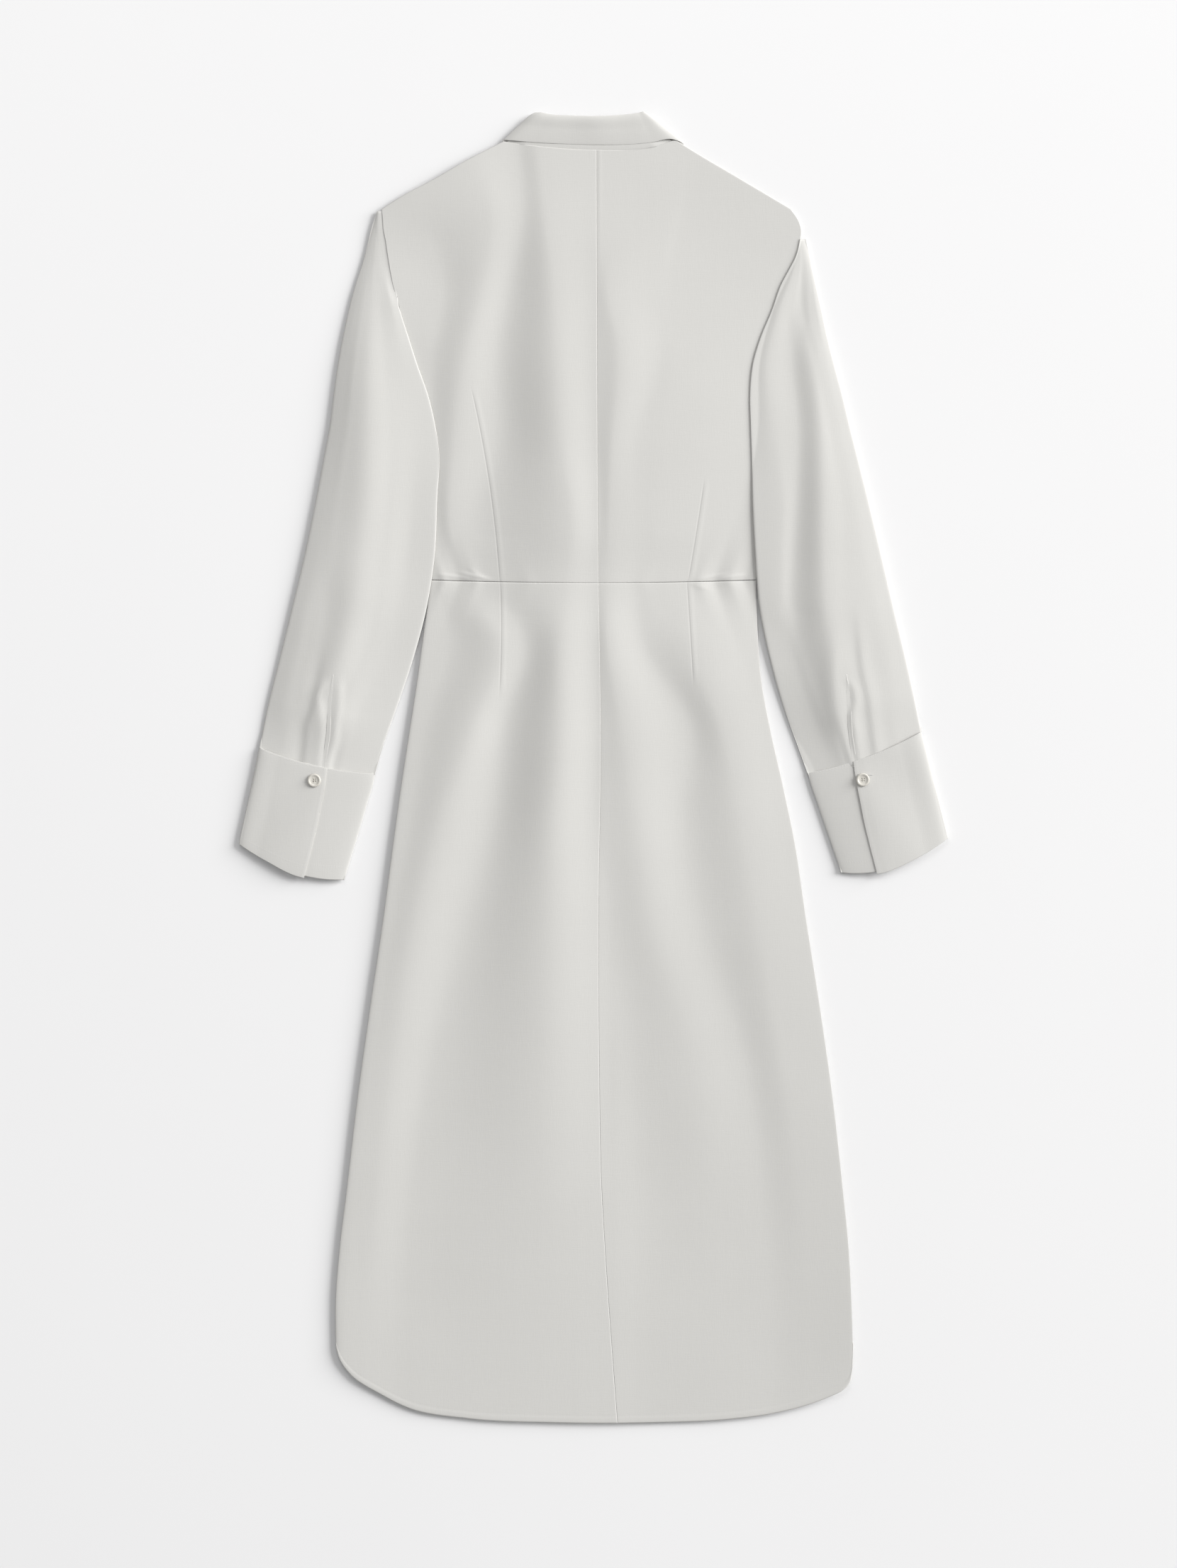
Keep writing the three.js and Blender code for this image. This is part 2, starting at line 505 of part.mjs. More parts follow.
// ---- Buttons: discs with a shallow rim ----
function button(name, x, y, seat) {
  const profile = [
    [0, 0], [BUTTON_RADIUS * 0.8, 0], [BUTTON_RADIUS, 0.5], [BUTTON_RADIUS, BUTTON_THICK - 0.4],
    [BUTTON_RADIUS * 0.85, BUTTON_THICK], [BUTTON_RADIUS * 0.7, BUTTON_THICK - 0.35], [0, BUTTON_THICK - 0.35],
  ].map(([r, z]) => new THREE.Vector2(r, z));
  const geometry = new THREE.LatheGeometry(profile, 12);
  geometry.rotateX(Math.PI / 2);
  geometry.translate(x, y, seat);
  const mesh = new THREE.Mesh(geometry, shell());
  mesh.name = name;
  group.add(mesh);
}
const CUFF_TOP = CUFF_LEVEL.over + CUFF_WALL / 2 + GAP;
button("cuff_button_left", ...CUFF_BUTTON.left, CUFF_TOP);
button("cuff_button_right", ...CUFF_BUTTON.right, CUFF_TOP);
for (let i = 0; i < FRONT_BUTTONS; i += 1) {
  button(`front_button_${String(i + 1).padStart(2, "0")}`, CENTRE_X, FRONT_BUTTON_TOP - i * FRONT_BUTTON_STEP, 0);
}

export default group;
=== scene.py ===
import math
import bpy
import numpy as np
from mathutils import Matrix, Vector


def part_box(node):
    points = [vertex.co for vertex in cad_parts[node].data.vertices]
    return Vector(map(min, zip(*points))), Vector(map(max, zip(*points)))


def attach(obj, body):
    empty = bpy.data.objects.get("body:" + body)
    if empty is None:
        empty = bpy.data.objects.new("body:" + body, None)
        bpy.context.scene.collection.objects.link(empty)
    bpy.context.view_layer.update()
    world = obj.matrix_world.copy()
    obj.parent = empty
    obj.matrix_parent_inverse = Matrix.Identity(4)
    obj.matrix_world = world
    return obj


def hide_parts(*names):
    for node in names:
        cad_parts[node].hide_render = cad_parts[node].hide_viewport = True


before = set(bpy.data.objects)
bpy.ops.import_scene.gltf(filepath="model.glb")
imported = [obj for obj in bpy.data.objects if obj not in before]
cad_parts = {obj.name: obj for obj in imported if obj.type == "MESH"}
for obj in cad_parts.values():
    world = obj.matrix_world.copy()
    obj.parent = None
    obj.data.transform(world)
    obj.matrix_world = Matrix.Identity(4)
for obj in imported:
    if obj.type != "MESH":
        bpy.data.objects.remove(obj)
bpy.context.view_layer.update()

MM = 0.001

# ---- The table, the light and the camera ----
# The dress lies on a pale matt table. A wide soft lamp stands low to the right of it and a little
# behind the collar, and the room gives an even fill. The camera looks straight down from above.
bpy.context.scene.view_settings.view_transform = "Standard"


class Num:
    """A number, colour or vector coming out of a shader node, so that shader sums read as plain maths."""

    def __init__(self, tree, socket):
        self.tree, self.socket = tree, socket

    def node(self, kind, settings=(), values=(), result=0):
        """A new node of the same tree: its settings by name, its inputs by name or place, one output."""
        made = self.tree.nodes.new(kind)
        for key, value in dict(settings).items():
            setattr(made, key, value)
        for key, value in dict(values).items():
            if isinstance(value, Num):
                self.tree.links.new(value.socket, made.inputs[key])
            else:
                made.inputs[key].default_value = value
        return Num(self.tree, made.outputs[result])

    def maths(self, operation, *values):
        return self.node("ShaderNodeMath", {"operation": operation}, dict(enumerate(values)))

    def __add__(self, other):
        return self.maths("ADD", self, other)

    def __sub__(self, other):
        return self.maths("SUBTRACT", self, other)

    def __rsub__(self, other):
        return self.maths("SUBTRACT", other, self)

    def __mul__(self, other):
        return self.maths("MULTIPLY", self, other)

    def __truediv__(self, other):
        return self.maths("DIVIDE", self, other)

    def __neg__(self):
        return self.maths("MULTIPLY", self, -1.0)

    __radd__, __rmul__ = __add__, __mul__

    def into(self, node, name):
        self.tree.links.new(self.socket, node.inputs[name])


def start_look(name, rough, **constants):
    """A material with one principled shader: its tree, the shader, and the place in metres as x, y and z."""
    look = bpy.data.materials.new(name)
    look.use_nodes = True
    tree = look.node_tree
    shader = tree.nodes["Principled BSDF"]
    shader.inputs["Roughness"].default_value = rough
    for key, value in constants.items():
        shader.inputs[key.replace("_", " ")].default_value = value
    place = Num(tree, tree.nodes.new("ShaderNodeTexCoord").outputs["Object"])
    split = place.node("ShaderNodeSeparateXYZ", (), {0: place}).socket.node
    return look, shader, place, [Num(tree, out) for out in split.outputs]


def table_look():
    """Pale matt board: an even colour with a very faint cloudiness."""
    look, shader, place, _ = start_look("table_board", 0.9)
    cloud = place.node("ShaderNodeTexNoise", (), {"Vector": place, "Scale": 3.0, "Detail": 2.0})
    tint = place.node("ShaderNodeMix", {"data_type": "RGBA"}, {
        0: cloud, 6: (0.892, 0.892, 0.898, 1.0), 7: (0.907, 0.907, 0.913, 1.0)}, 2)
    tint.into(shader, "Base Color")
    return look


half = 4.0
table_mesh = bpy.data.meshes.new("table_top")
table_mesh.from_pydata([(-half, -half, 0), (half, -half, 0), (half, half, 0), (-half, half, 0)], [],
                       [(0, 1, 2, 3)])
table_mesh.materials.append(table_look())
table_top = bpy.data.objects.new("table_top", table_mesh)
bpy.context.collection.objects.link(table_top)

world = bpy.data.worlds.new("room")
world.use_nodes = True
world.node_tree.nodes["Background"].inputs["Color"].default_value = (1.0, 1.0, 1.0, 1.0)
world.node_tree.nodes["Background"].inputs["Strength"].default_value = 0.37
bpy.context.scene.world = world


def soft_lamp(name, away, up, turned, size, strength):
    """A square lamp that faces the dress from the given distance, height angle and bearing from the right."""
    lamp = bpy.data.lights.new(name, "AREA")
    lamp.shape, lamp.size = "SQUARE", size
    lamp.energy = strength * away**2
    lamp.color = (1.0, 0.996, 0.988)
    toward = Vector((math.cos(up) * math.cos(turned), math.cos(up) * math.sin(turned), math.sin(up)))
    made = bpy.data.objects.new(name, lamp)
    made.rotation_euler = toward.to_track_quat("Z", "Y").to_euler()
    made.location = toward * away
    bpy.context.collection.objects.link(made)


soft_lamp("side_lamp", 22.0, math.radians(24), math.radians(22), 13.2, 14.3)
soft_lamp("head_lamp", 4.6, math.radians(50), math.radians(98), 2.2, 1.5)

CAMERA_UP = 3.2  # m above the table
VIEW_HEIGHT = 1.46  # m of table from the bottom to the top of the picture
camera_data = bpy.data.cameras.new("camera")
camera_data.sensor_width = 36.0
camera_data.lens = 36.0 * CAMERA_UP / VIEW_HEIGHT
camera = bpy.data.objects.new("camera", camera_data)
camera.location = (-0.0046, -0.0158, CAMERA_UP)
bpy.context.collection.objects.link(camera)
bpy.context.scene.camera = camera


# ---- Back: two bodice halves and two skirt halves ----
# Off-white plain-weave cotton, sewn down the centre and round the waist, with a dart each side of the
# centre above and below the waist. The back lies on the front, humped over the button band.
def through(table, key):
    """The table's other columns at each key: a cubic between rows, its slopes from the rows either side."""
    rows = np.asarray(table, float)
    rows = rows[np.argsort(rows[:, 0])]
    k, c = rows[:, 0], rows[:, 1:]
    slope = np.gradient(c, k, axis=0) if len(k) > 2 else np.repeat((c[1:] - c[:1]) / (k[1] - k[0]), 2, 0)
    key = np.clip(key, k[0], k[-1])
    i = np.clip(np.searchsorted(k, key, "right") - 1, 0, len(k) - 2)
    run = (k[i + 1] - k[i])
    t = ((key - k[i]) / run)[..., None]
    run = run[..., None]
    cubic = (2 * t**3 - 3 * t**2 + 1) * c[i] + (3 * t**2 - 2 * t**3) * c[i + 1]
    return np.moveaxis(cubic + run * ((t**3 - 2 * t**2 + t) * slope[i] + (t**3 - t**2) * slope[i + 1]), -1,
                       0)


def ease(start, end, value):
    """0 before start, 1 after end, and a smooth step between; start may be the larger."""
    t = np.clip((value - start) / (end - start), 0, 1)
    return t * t * (3 - 2 * t)


def crowded(n, near=0.35):
    """n + 1 places from 0 to 1, closer together towards both ends."""
    t = np.linspace(0, 1, n + 1)
    return (1 - near) * t + near * (t - np.sin(2 * np.pi * t) / (2 * np.pi)) if near < 1 else t


CENTRE_X, WAIST_Y, TIP_Y = 4.0, 171.0, 519.0
# y, x of the left edge, x of the right edge: armholes, side seams, then the flared skirt
BODY_EDGE = [
    (519, -197, 183), (508, -196, 190.5), (500, -195.5, 193),
    (490, -193.5, 192.5), (475, -191.3, 190.5), (446, -186, 187), (424, -180, 185), (396, -185, 189),
    (345, -204, 204),
    (300, -190, 190), (240, -168, 169), (174, -152, 151.5), (149, -154.4, 151.8), (127, -157.5, 152.5),
    (77, -164.5, 156.5), (38, -170.5, 163.7), (-18, -179, 176.2), (-65, -185.5, 186), (-144, -196, 198),
    (-224, -207.8, 210.5), (-304, -219, 221.8), (-393, -229.5, 231.7), (-447, -236, 237),
    (-494, -239.6, 239.4),
    (-540, -239.5, 241),
]
# x, y of the back neck seam, of the shoulder seams and of the hem
NECK = [(-84, 581.5), (-52, 577), (-21, 574.3), (4, 573.5), (31, 573.6), (55, 577), (76, 583)]
LEFT_SHOULDER = [(-197, 519), (-175, 532.6), (-152, 544.5), (-118, 564), (-84, 581.5)]
RIGHT_SHOULDER = [(76, 583), (88, 575.5), (136, 547), (168, 528), (183, 519)]
HEM = [
    (-239.5, -540), (-236, -551), (-227, -564), (-198, -583.5), (-172, -596.5), (-118, -606), (-38, -609.8),
    (14, -610.5), (60, -609.8), (123, -607), (168, -601), (199, -593), (220, -585), (232, -579),
    (238, -572.5),
    (240.2, -563), (240.8, -552), (241, -540),
]
# The centre back seam wanders: y, x
CENTRE_SEAM = [(575, 2.8), (400, 3.3), (171, 4.6), (90, 6), (46, 6.6), (-144, 4.6), (-276, 5.3), (-387, 7.3),
               (-447, 10.6), (-540, 17), (-612, 22.4)]


def waist_line(x):
    """Height of the waist seam across the dress: a shallow curve that rises to the sides."""
    return WAIST_Y + 3.0 * ((x - CENTRE_X) / 155.0) ** 2


# Crest and trough lines of the back's large folds, each from side to side at one height up the dress:
# y, then x and height of the left edge, trough, crest, trough, main crest, centre dip, crest, trough,
# crest and right edge. Heights are of the cloth above the table, in mm.
# Its heights follow a fit worked out by another program.
BACK_LINES = [
    (580, -200, 3.6, -160, 5.2, -118, 6.0, -72, 5.2, -52, 6.6, 2, 6.0, 40, 5.6, 78, 5.0, 110, 4.6, 192, 3.8),
    (516, -198, 4.4, -160, 5.6, -98, 7.5, -66, 5.8, -45, 7.4, 2, 6.2, 30, 5.8, 72, 5.2, 86, 4.8, 191, 4.0),
    (450, -188, 4.8, -141, 3.4, -104, 6.0, -78, 4.3, -37, 9.2, 1, 7.9, 14, 8.4, 60, 6.6, 72, 6.0, 187, 2.6),
    (384, -190, 2.8, -151, 3.5, -119, 6.6, -88, 4.4, -34, 11.2, 2, 9.2, 24, 10.6, 64, 7.9, 74, 7.6, 190,
     2.6),
    (300, -190, 2.8, -152, 3.4, -129, 5.7, -91, 4.0, -30, 11.6, 3, 9.2, 18, 10.4, 42, 9.4, 66, 9.0, 186,
     2.6),
    (219, -161, 3.0, -148, 3.2, -132, 4.7, -112, 4.6, -22, 11.4, 6, 9.2, 15, 9.6, 44, 8.6, 62, 8.0, 159,
     2.6),
    (174, -152, 3.0, -146, 3.2, -120, 4.0, -100, 4.8, -26, 9.4, 4, 8.0, 14, 8.2, 44, 6.8, 72, 6.0, 151, 2.8),
    (120, -158, 4.5, -136, 4.7, -88, 9.2, -66, 8.5, -30, 12.6, 3, 10.0, 13, 10.6, 48, 7.6, 86, 8.5, 152,
     4.3),
    (41, -170, 4.8, -156, 5.2, -113, 9.3, -81, 5.8, -32, 12.6, 6, 8.4, 26, 9.4, 88, 4.6, 118, 7.2, 163, 4.6),
    (-45, -182, 5.0, -170, 5.4, -141, 7.8, -93, 3.8, -38, 11.0, 6, 6.8, 36, 7.8, 86, 4.2, 136, 7.2, 182,
     5.2),
    (-144, -196, 5.2, -188, 5.6, -166, 7.0, -117, 3.6, -43, 10.4, 18, 5.4, 52, 6.6, 101, 4.2, 154, 7.0, 198,
     6.0),
    (-276, -215, 5.2, -207, 5.6, -190, 6.0, -149, 3.4, -48, 8.4, 30, 3.8, 92, 5.4, 140, 4.2, 176, 6.4, 218,
     6.6),
    (-408, -231, 5.2, -222, 5.4, -206, 5.5, -168, 3.8, -50, 6.4, 48, 3.8, 110, 4.6, 156, 4.4, 192, 6.0, 233,
     7.4),
    (-540, -240, 5.0, -232, 5.2, -214, 5.0, -176, 4.2, -52, 5.0, 56, 3.8, 120, 4.2, 164, 4.6, 202, 5.9, 242,
     7.8),
    (-612, -240, 4.6, -232, 4.6, -214, 4.6, -176, 4.0, -52, 4.4, 56, 3.8, 120, 4.2, 164, 4.6, 202, 5.6, 242,
     7.2),
]


def from_lines(table, along, across):
    """Height at each place: a cubic from line to line at that distance along. Its slope at a line is nought
    at a crest or a trough, and else the harmonic mean of the slopes on both sides, so nothing overshoots."""
    lines = through(table, along)
    x, h = lines[0::2], lines[1::2]
    run = np.maximum(np.diff(x, axis=0), 1e-3)
    grade = np.diff(h, axis=0) / run
    before, after = grade[:-1], grade[1:]
    same_way = before * after > 0
    slope = np.where(same_way, 2 * before * after / np.where(same_way, before + after, 1), 0)
    slope = np.concatenate([grade[:1], slope, grade[-1:]])
    height = np.where(across < x[0], h[0], h[-1])
    for k in range(len(run)):
        t = np.clip((across - x[k]) / run[k], 0, 1)
        rise_part = (2 * t**3 - 3 * t**2 + 1) * h[k] + (3 * t**2 - 2 * t**3) * h[k + 1]
        slope_part = (t**3 - 2 * t**2 + t) * slope[k] + (t**3 - t**2) * slope[k + 1]
        height = np.where((across >= x[k]) & (across < x[k + 1]), rise_part + run[k] * slope_part, height)
    return height


def back_height(x, y):
    """Upper face of the back above the table: the large folds, then small creases by the seams."""
    z = from_lines(BACK_LINES, y, x)
    below = waist_line(x) - y
    # the skirt's cloth swells out just below the waist seam, and the bodice's just above it
    down, up = np.maximum(below, 0) / 8, np.maximum(-below, 0) / 6
    z = z + 0.15 * down * np.exp(1 - down) + 0.1 * up * np.exp(1 - up)
    # x of the middle, width, height and reach up the cloth of each pucker that the waist seam draws up
    for middle, width, height, reach in [(-139, 5, 0.9, 16), (-124, 6, -0.8, 20), (-108, 5, 0.7, 14),
                                         (98, 5, 0.7, 12),
                                         (112, 6, -1.0, 22), (127, 6, 1.0, 16), (141, 5, -0.8, 14),
                                         (-60, 7, 0.3, 12),
                                         (46, 8, 0.3, 14)]:
        lean = middle + 0.35 * np.abs(below) * np.sign(middle)
        z = z + height * np.exp(-((x - lean) / width) ** 2) * np.exp(-np.abs(below) / reach)
    # wrinkles that run nearly along the seam: x where each starts and ends, height above the seam at both,
    # height of the wrinkle
    for start, end, gap_start, gap_end, height in [(-92, -132, 1.5, 9, 0.45), (-110, -150, 2.5, 5.5, 0.4),
                                                   (-98, -120, 0, 15, 0.25), (94, 130, 1.5, 8, 0.4),
                                                   (112, 148, 2, 6, 0.4), (88, 112, -1, -9, 0.25)]:
        share = (x - start) / (end - start)
        off = (-below - (gap_start + (gap_end - gap_start) * share)) / 1.8
        z = z + height * np.exp(-off**2) * ease(0, 0.3, share) * ease(1, 0.6, share)
    band = 1.8 + 2.2 * ease(60, 14, np.abs(x - CENTRE_X))
    return (z + band + np.sqrt((z - band) ** 2 + 1.0)) / 2  # a soft step up on to the button band


def joined_path(*tables, n):
    """n + 1 points evenly spaced along smooth curves joined end to end, each through its table's points:
    x and y are both a cubic of the distance from point to point."""
    fine = []
    for table in tables:
        points = np.array(table, float)
        far = np.concatenate([[0], np.cumsum(np.linalg.norm(np.diff(points, axis=0), axis=1))])
        fine.append(through(np.column_stack([far, points]), np.linspace(0, far[-1], 400)).T)
    path = np.concatenate(fine)
    far = np.concatenate([[0], np.cumsum(np.linalg.norm(np.diff(path, axis=0), axis=1))])
    at = np.linspace(0, far[-1], n + 1)
    return np.column_stack([np.interp(at, far, path[:, 0]), np.interp(at, far, path[:, 1])])


def hem_from(start, side):
    """The hem's points from the given x out to the side seam."""
    beyond = [point for point in HEM[::side] if (point[0] - start) * side > 5]
    return [(start, through(HEM, np.array([start]))[0][0])] + beyond


def between_edges(bottom, top, left, right, u, v):
    """Plan grid between four edges: sides mixed across plus ends mixed along, less the four corners mixed."""
    u, v = u[None, :, None], v[:, None, None]
    sides = left[:, None] * (1 - u) + right[:, None] * u
    ends = bottom[None] * (1 - v) + top[None] * v
    corners = (bottom[0] * (1 - u) + bottom[-1] * u) * (1 - v) + (top[0] * (1 - u) + top[-1] * u) * v
    return sides + ends - corners


def resample(path, at):
    """The path's points at the given shares of its rows."""
    rows = np.linspace(0, 1, len(path))
    return np.column_stack([np.interp(at, rows, path[:, 0]), np.interp(at, rows, path[:, 1])])


def cloth_skin(name, upper, thick, look, closed=False, cut=None):
    """A thin closed skin: the grid of points in mm, and the same grid moved thick mm along its own normals.
    Rows join into a tube where closed says so, and elsewhere a rim joins the two faces. Where cut gives the
    two distances in mm across the flat cloth, they become the piece's UV map in metres."""
    along = np.gradient(upper, axis=1)
    if closed:
        along = (np.roll(upper, -1, 1) - np.roll(upper, 1, 1)) / 2
    normal = np.cross(along, np.gradient(upper, axis=0))
    normal /= np.maximum(np.linalg.norm(normal, axis=2, keepdims=True), 1e-9)
    lower = upper - normal * thick
    rows, cols = upper.shape[:2]
    index = np.arange(rows * cols).reshape(rows, cols)
    nxt = np.roll(index, -1, 1) if closed else index[:, 1:]
    here = index if closed else index[:, :-1]
    faces = np.stack([here[:-1], nxt[:-1], nxt[1:], here[1:]], -1).reshape(-1, 4)
    shift = rows * cols
    parts = [faces, faces[:, ::-1] + shift]
    skin_faces = 2 * len(faces)  # the rims are flat, so that their edges stay crisp
    rims = [(here[0], nxt[0], -1), (here[-1], nxt[-1], 1)]
    if not closed:
        rims += [(index[:-1, 0], index[1:, 0], 1), (index[:-1, -1], index[1:, -1], -1)]
    for a, b, turn in rims:
        rim = np.stack([a, b, b + shift, a + shift], -1)
        parts.append(rim if turn > 0 else rim[:, ::-1])
    faces = np.concatenate(parts)
    points = np.concatenate([upper.reshape(-1, 3), lower.reshape(-1, 3)]) * MM
    mesh = bpy.data.meshes.new(name)
    mesh.vertices.add(len(points))
    mesh.vertices.foreach_set("co", points.ravel())
    mesh.loops.add(len(faces) * 4)
    mesh.loops.foreach_set("vertex_index", faces.ravel())
    mesh.polygons.add(len(faces))
    mesh.polygons.foreach_set("loop_start", np.arange(0, len(faces) * 4, 4))
    mesh.polygons.foreach_set("use_smooth", np.arange(len(faces)) < skin_faces)
    if cut is not None:
        flat = np.tile(np.dstack(cut).reshape(-1, 2), (2, 1)) * MM
        mesh.uv_layers.new(name="cut").data.foreach_set("uv", flat[faces.ravel()].ravel())
    mesh.update(calc_edges=True)
    mesh.materials.append(look)
    piece = bpy.data.objects.new(name, mesh)
    bpy.context.collection.objects.link(piece)
    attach(piece, "root")
    return piece


def relief_line(x, y, path, wide, fade=0.02):
    """1 on a seam line up the cloth, a bell shape across it. The line is the parabola through the path's
    points, each x and y in metres, and it fades out towards its upper or lower end."""
    c, b, a = np.polyfit([p[1] for p in path], [p[0] for p in path], 2)
    off = (x - (y * (y * c + b) + a)) / wide
    low, high = min(p[1] for p in path), max(p[1] for p in path)
    start = x.node("ShaderNodeMapRange", {"interpolation_type": "SMOOTHSTEP"},
                   {0: y, 1: low, 2: low + fade, 3: 0.0, 4: 1.0})
    stop = x.node("ShaderNodeMapRange", {"interpolation_type": "SMOOTHSTEP"},
                  {0: y, 1: high - fade, 2: high, 3: 1.0, 4: 0.0})
    return x.maths("POWER", 2.718, -(off * off)) * start * stop


def cloth_look(name, marks=None):
    """Off-white plain weave: two fine crossed ribs, uneven yarns mostly lengthwise, soft blotches."""
    look, shader, place, (x, y, z) = start_look(name, 0.82, Sheen_Weight=0.25, Sheen_Roughness=0.5,
                                                Specular_IOR_Level=0.3)
    stretched = place.node("ShaderNodeMapping", (), {"Vector": place, "Scale": (1100.0, 110.0, 300.0)})
    slub = place.node("ShaderNodeTexNoise", (),
                      {"Vector": stretched, "Scale": 1.0, "Detail": 3.0, "Roughness": 0.6})
    crossways = place.node("ShaderNodeMapping", (), {"Vector": place, "Scale": (110.0, 1100.0, 300.0)})
    weft = place.node("ShaderNodeTexNoise", (), {"Vector": crossways, "Scale": 1.0, "Detail": 2.0})
    cloud = place.node("ShaderNodeTexNoise", (), {"Vector": place, "Scale": 9.0, "Detail": 3.0})
    ribs = (place.maths("SINE", x * 9000.0) + place.maths("SINE", y * 9000.0)) * 0.25
    relief = slub * 0.00005 + weft * 0.00004 + ribs * 0.000015
    shade = (slub - 0.5) * 0.22 + (weft - 0.5) * 0.12 + (cloud - 0.5) * 0.5 + 0.5
    # marks add relief and a darker colour: painted shade along the darts' sunk lines and in the buttonhole's
    # slit, and lighter stitches on the cuffs
    if marks:
        raised, dark = marks(x, y, look)
        relief = relief + raised
        shade = shade - dark
    tint = place.node("ShaderNodeMix", {"data_type": "RGBA", "clamp_factor": True}, {
        0: shade, 6: (0.610, 0.603, 0.581, 1.0), 7: (0.692, 0.685, 0.662, 1.0)}, 2)
    tint.into(shader, "Base Color")
    relief.node("ShaderNodeBump",
                (), {"Strength": 1.0, "Distance": 1.0, "Height": relief}).into(shader, "Normal")
    return look


DARTS = [
    [(-0.1147, 0.357), (-0.0975, 0.268), (-0.0868, 0.165)],
    [(0.1036, 0.273), (0.095, 0.215), (0.0865, 0.165)],
    [(-0.0871, 0.180), (-0.0858, 0.115), (-0.0878, 0.062)],
    [(0.0865, 0.180), (0.0898, 0.125), (0.0931, 0.072)],
]


def back_marks(x, y, look):
    """The four darts: a stitched line sunk in the cloth and darkened with painted shade, and the folded cloth
    as a low swell beside it.
    """
    lines = [relief_line(x, y, path, 0.0007) for path in DARTS]
    swells = [relief_line(x, y, [(px + 0.0028, py) for px, py in path], 0.0022) for path in DARTS]
    line, swell = lines[0] + lines[1] + lines[2] + lines[3], swells[0] + swells[1] + swells[2] + swells[3]
    # the sunk dart line is also darkened in colour: painted shade in the groove
    return swell * 0.00012 - line * 0.00012, line * 0.22


back_look = cloth_look("back_poplin", back_marks)
THICK = 0.6  # mm of cloth


def back_half(name, side, bodice):
    """One half of the bodice or the skirt: the plan grid between its seams, at the height of the back.
    Its edges at the seams are rolled under by a smooth dip as wide as the seam's ridge."""
    edge = BODY_EDGE
    col = 0 if side < 0 else 1
    n = 100
    if bodice:
        m = 190
        y = np.linspace(174.2, TIP_Y, m + 1)
        outer = np.column_stack([through(edge, y)[col], y])
        shoulder = LEFT_SHOULDER[::-1] if side < 0 else RIGHT_SHOULDER
        seam_x = through(CENTRE_SEAM, np.array([573.5]))[0][0]
        neck_x = np.linspace(seam_x, shoulder[0][0], 9)
        neck = list(zip(neck_x, through(NECK, neck_x)[0]))
        top = joined_path(neck, shoulder, n=n)
        x = np.linspace(through(CENTRE_SEAM, np.array([171.0]))[0][0], outer[0, 0], n + 1)
        bottom = np.column_stack([x, waist_line(x)])
        inner_y = np.linspace(bottom[0, 1], top[0, 1], m + 1)
    else:
        m = 240
        y = np.linspace(-540, 173.8, m + 1)
        outer = np.column_stack([through(edge, y)[col], y])
        x = np.linspace(through(CENTRE_SEAM, np.array([171.0]))[0][0], outer[-1, 0], n + 1)
        top = np.column_stack([x, waist_line(x) - 0.01])
        hem_x = through(CENTRE_SEAM, np.array([-610.0]))[0][0]
        bottom = joined_path(hem_from(hem_x, side), n=n)
        inner_y = np.linspace(bottom[0, 1], top[0, 1], m + 1)
    inner = np.column_stack([through(CENTRE_SEAM, inner_y)[0] + side * 0.008, inner_y])
    u, v = crowded(n, 0.75), crowded(m, 0.6)
    grid = between_edges(resample(bottom, u), resample(top, u), resample(inner, v), resample(outer, v), u, v)
    if side < 0:
        grid = grid[:, ::-1]
    gx, gy = grid[..., 0], grid[..., 1]
    z = back_height(gx, gy)
    centre = np.abs(gx - through(CENTRE_SEAM, gy)[0])
    shown = 0.08 + 0.92 * ease(-330, 60, gy)
    if side > 0:  # the seam's turnings lie under the right half, which rises from the seam
        z = z - 0.24 * shown * np.exp(-centre / 2.6)
        z = z + 0.12 * ease(430, 560, gy) * np.exp(-(((centre - 2.8) / 2.0) ** 2))
    else:
        z = z - 0.03 * np.exp(-((centre / 0.9) ** 2))
    waist_gap = np.abs(gy - waist_line(gx))
    z = z - (0.05 + 0.15 * ease(80, 130, np.abs(gx))) * np.exp(-((waist_gap / 1.1) ** 2))
    outside = np.abs(gx - through(edge, gy)[col])
    z = z - (0.5 if side < 0 else 0.1) * np.exp(-outside / 1.2) * ease(425, 395, gy)
    if not bodice:
        hem_gap = (v[:, None] * np.ones_like(gx)) * 780
        z = z + 0.12 * ease(7.4, 6.0, hem_gap) - 0.12 * np.exp(-((hem_gap - 6.6) / 0.7) ** 2)
        z = z - 0.3 * np.exp(-hem_gap / 0.8)
    if bodice:
        down = (1 - v[:, None]) * 400 * np.ones_like(gx)
        z = z - (0.4 if side < 0 else 0.1) * np.exp(-down / 1.5) * ease(60, 110, np.abs(gx - CENTRE_X))
    return cloth_skin(name, np.dstack([grid, z]), THICK, back_look)


back_pieces = [
    (back_half("back_bodice_left_cloth", -1, True), "back_bodice_left", (0.205, 0.415), 0.074,
     "front_bodice_left"),
    (back_half("back_bodice_right_cloth", 1, True), "back_bodice_right", (0.200, 0.415), 0.070,
     "front_bodice_right"),
    (back_half("back_skirt_left_cloth", -1, False), "back_skirt_left", (0.265, 0.800), 0.168,
     "front_skirt_left"),
    (back_half("back_skirt_right_cloth", 1, False), "back_skirt_right", (0.250, 0.800), 0.158,
     "front_skirt_right"),
]
for piece, node, flat, area, under in back_pieces:
    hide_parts(node)


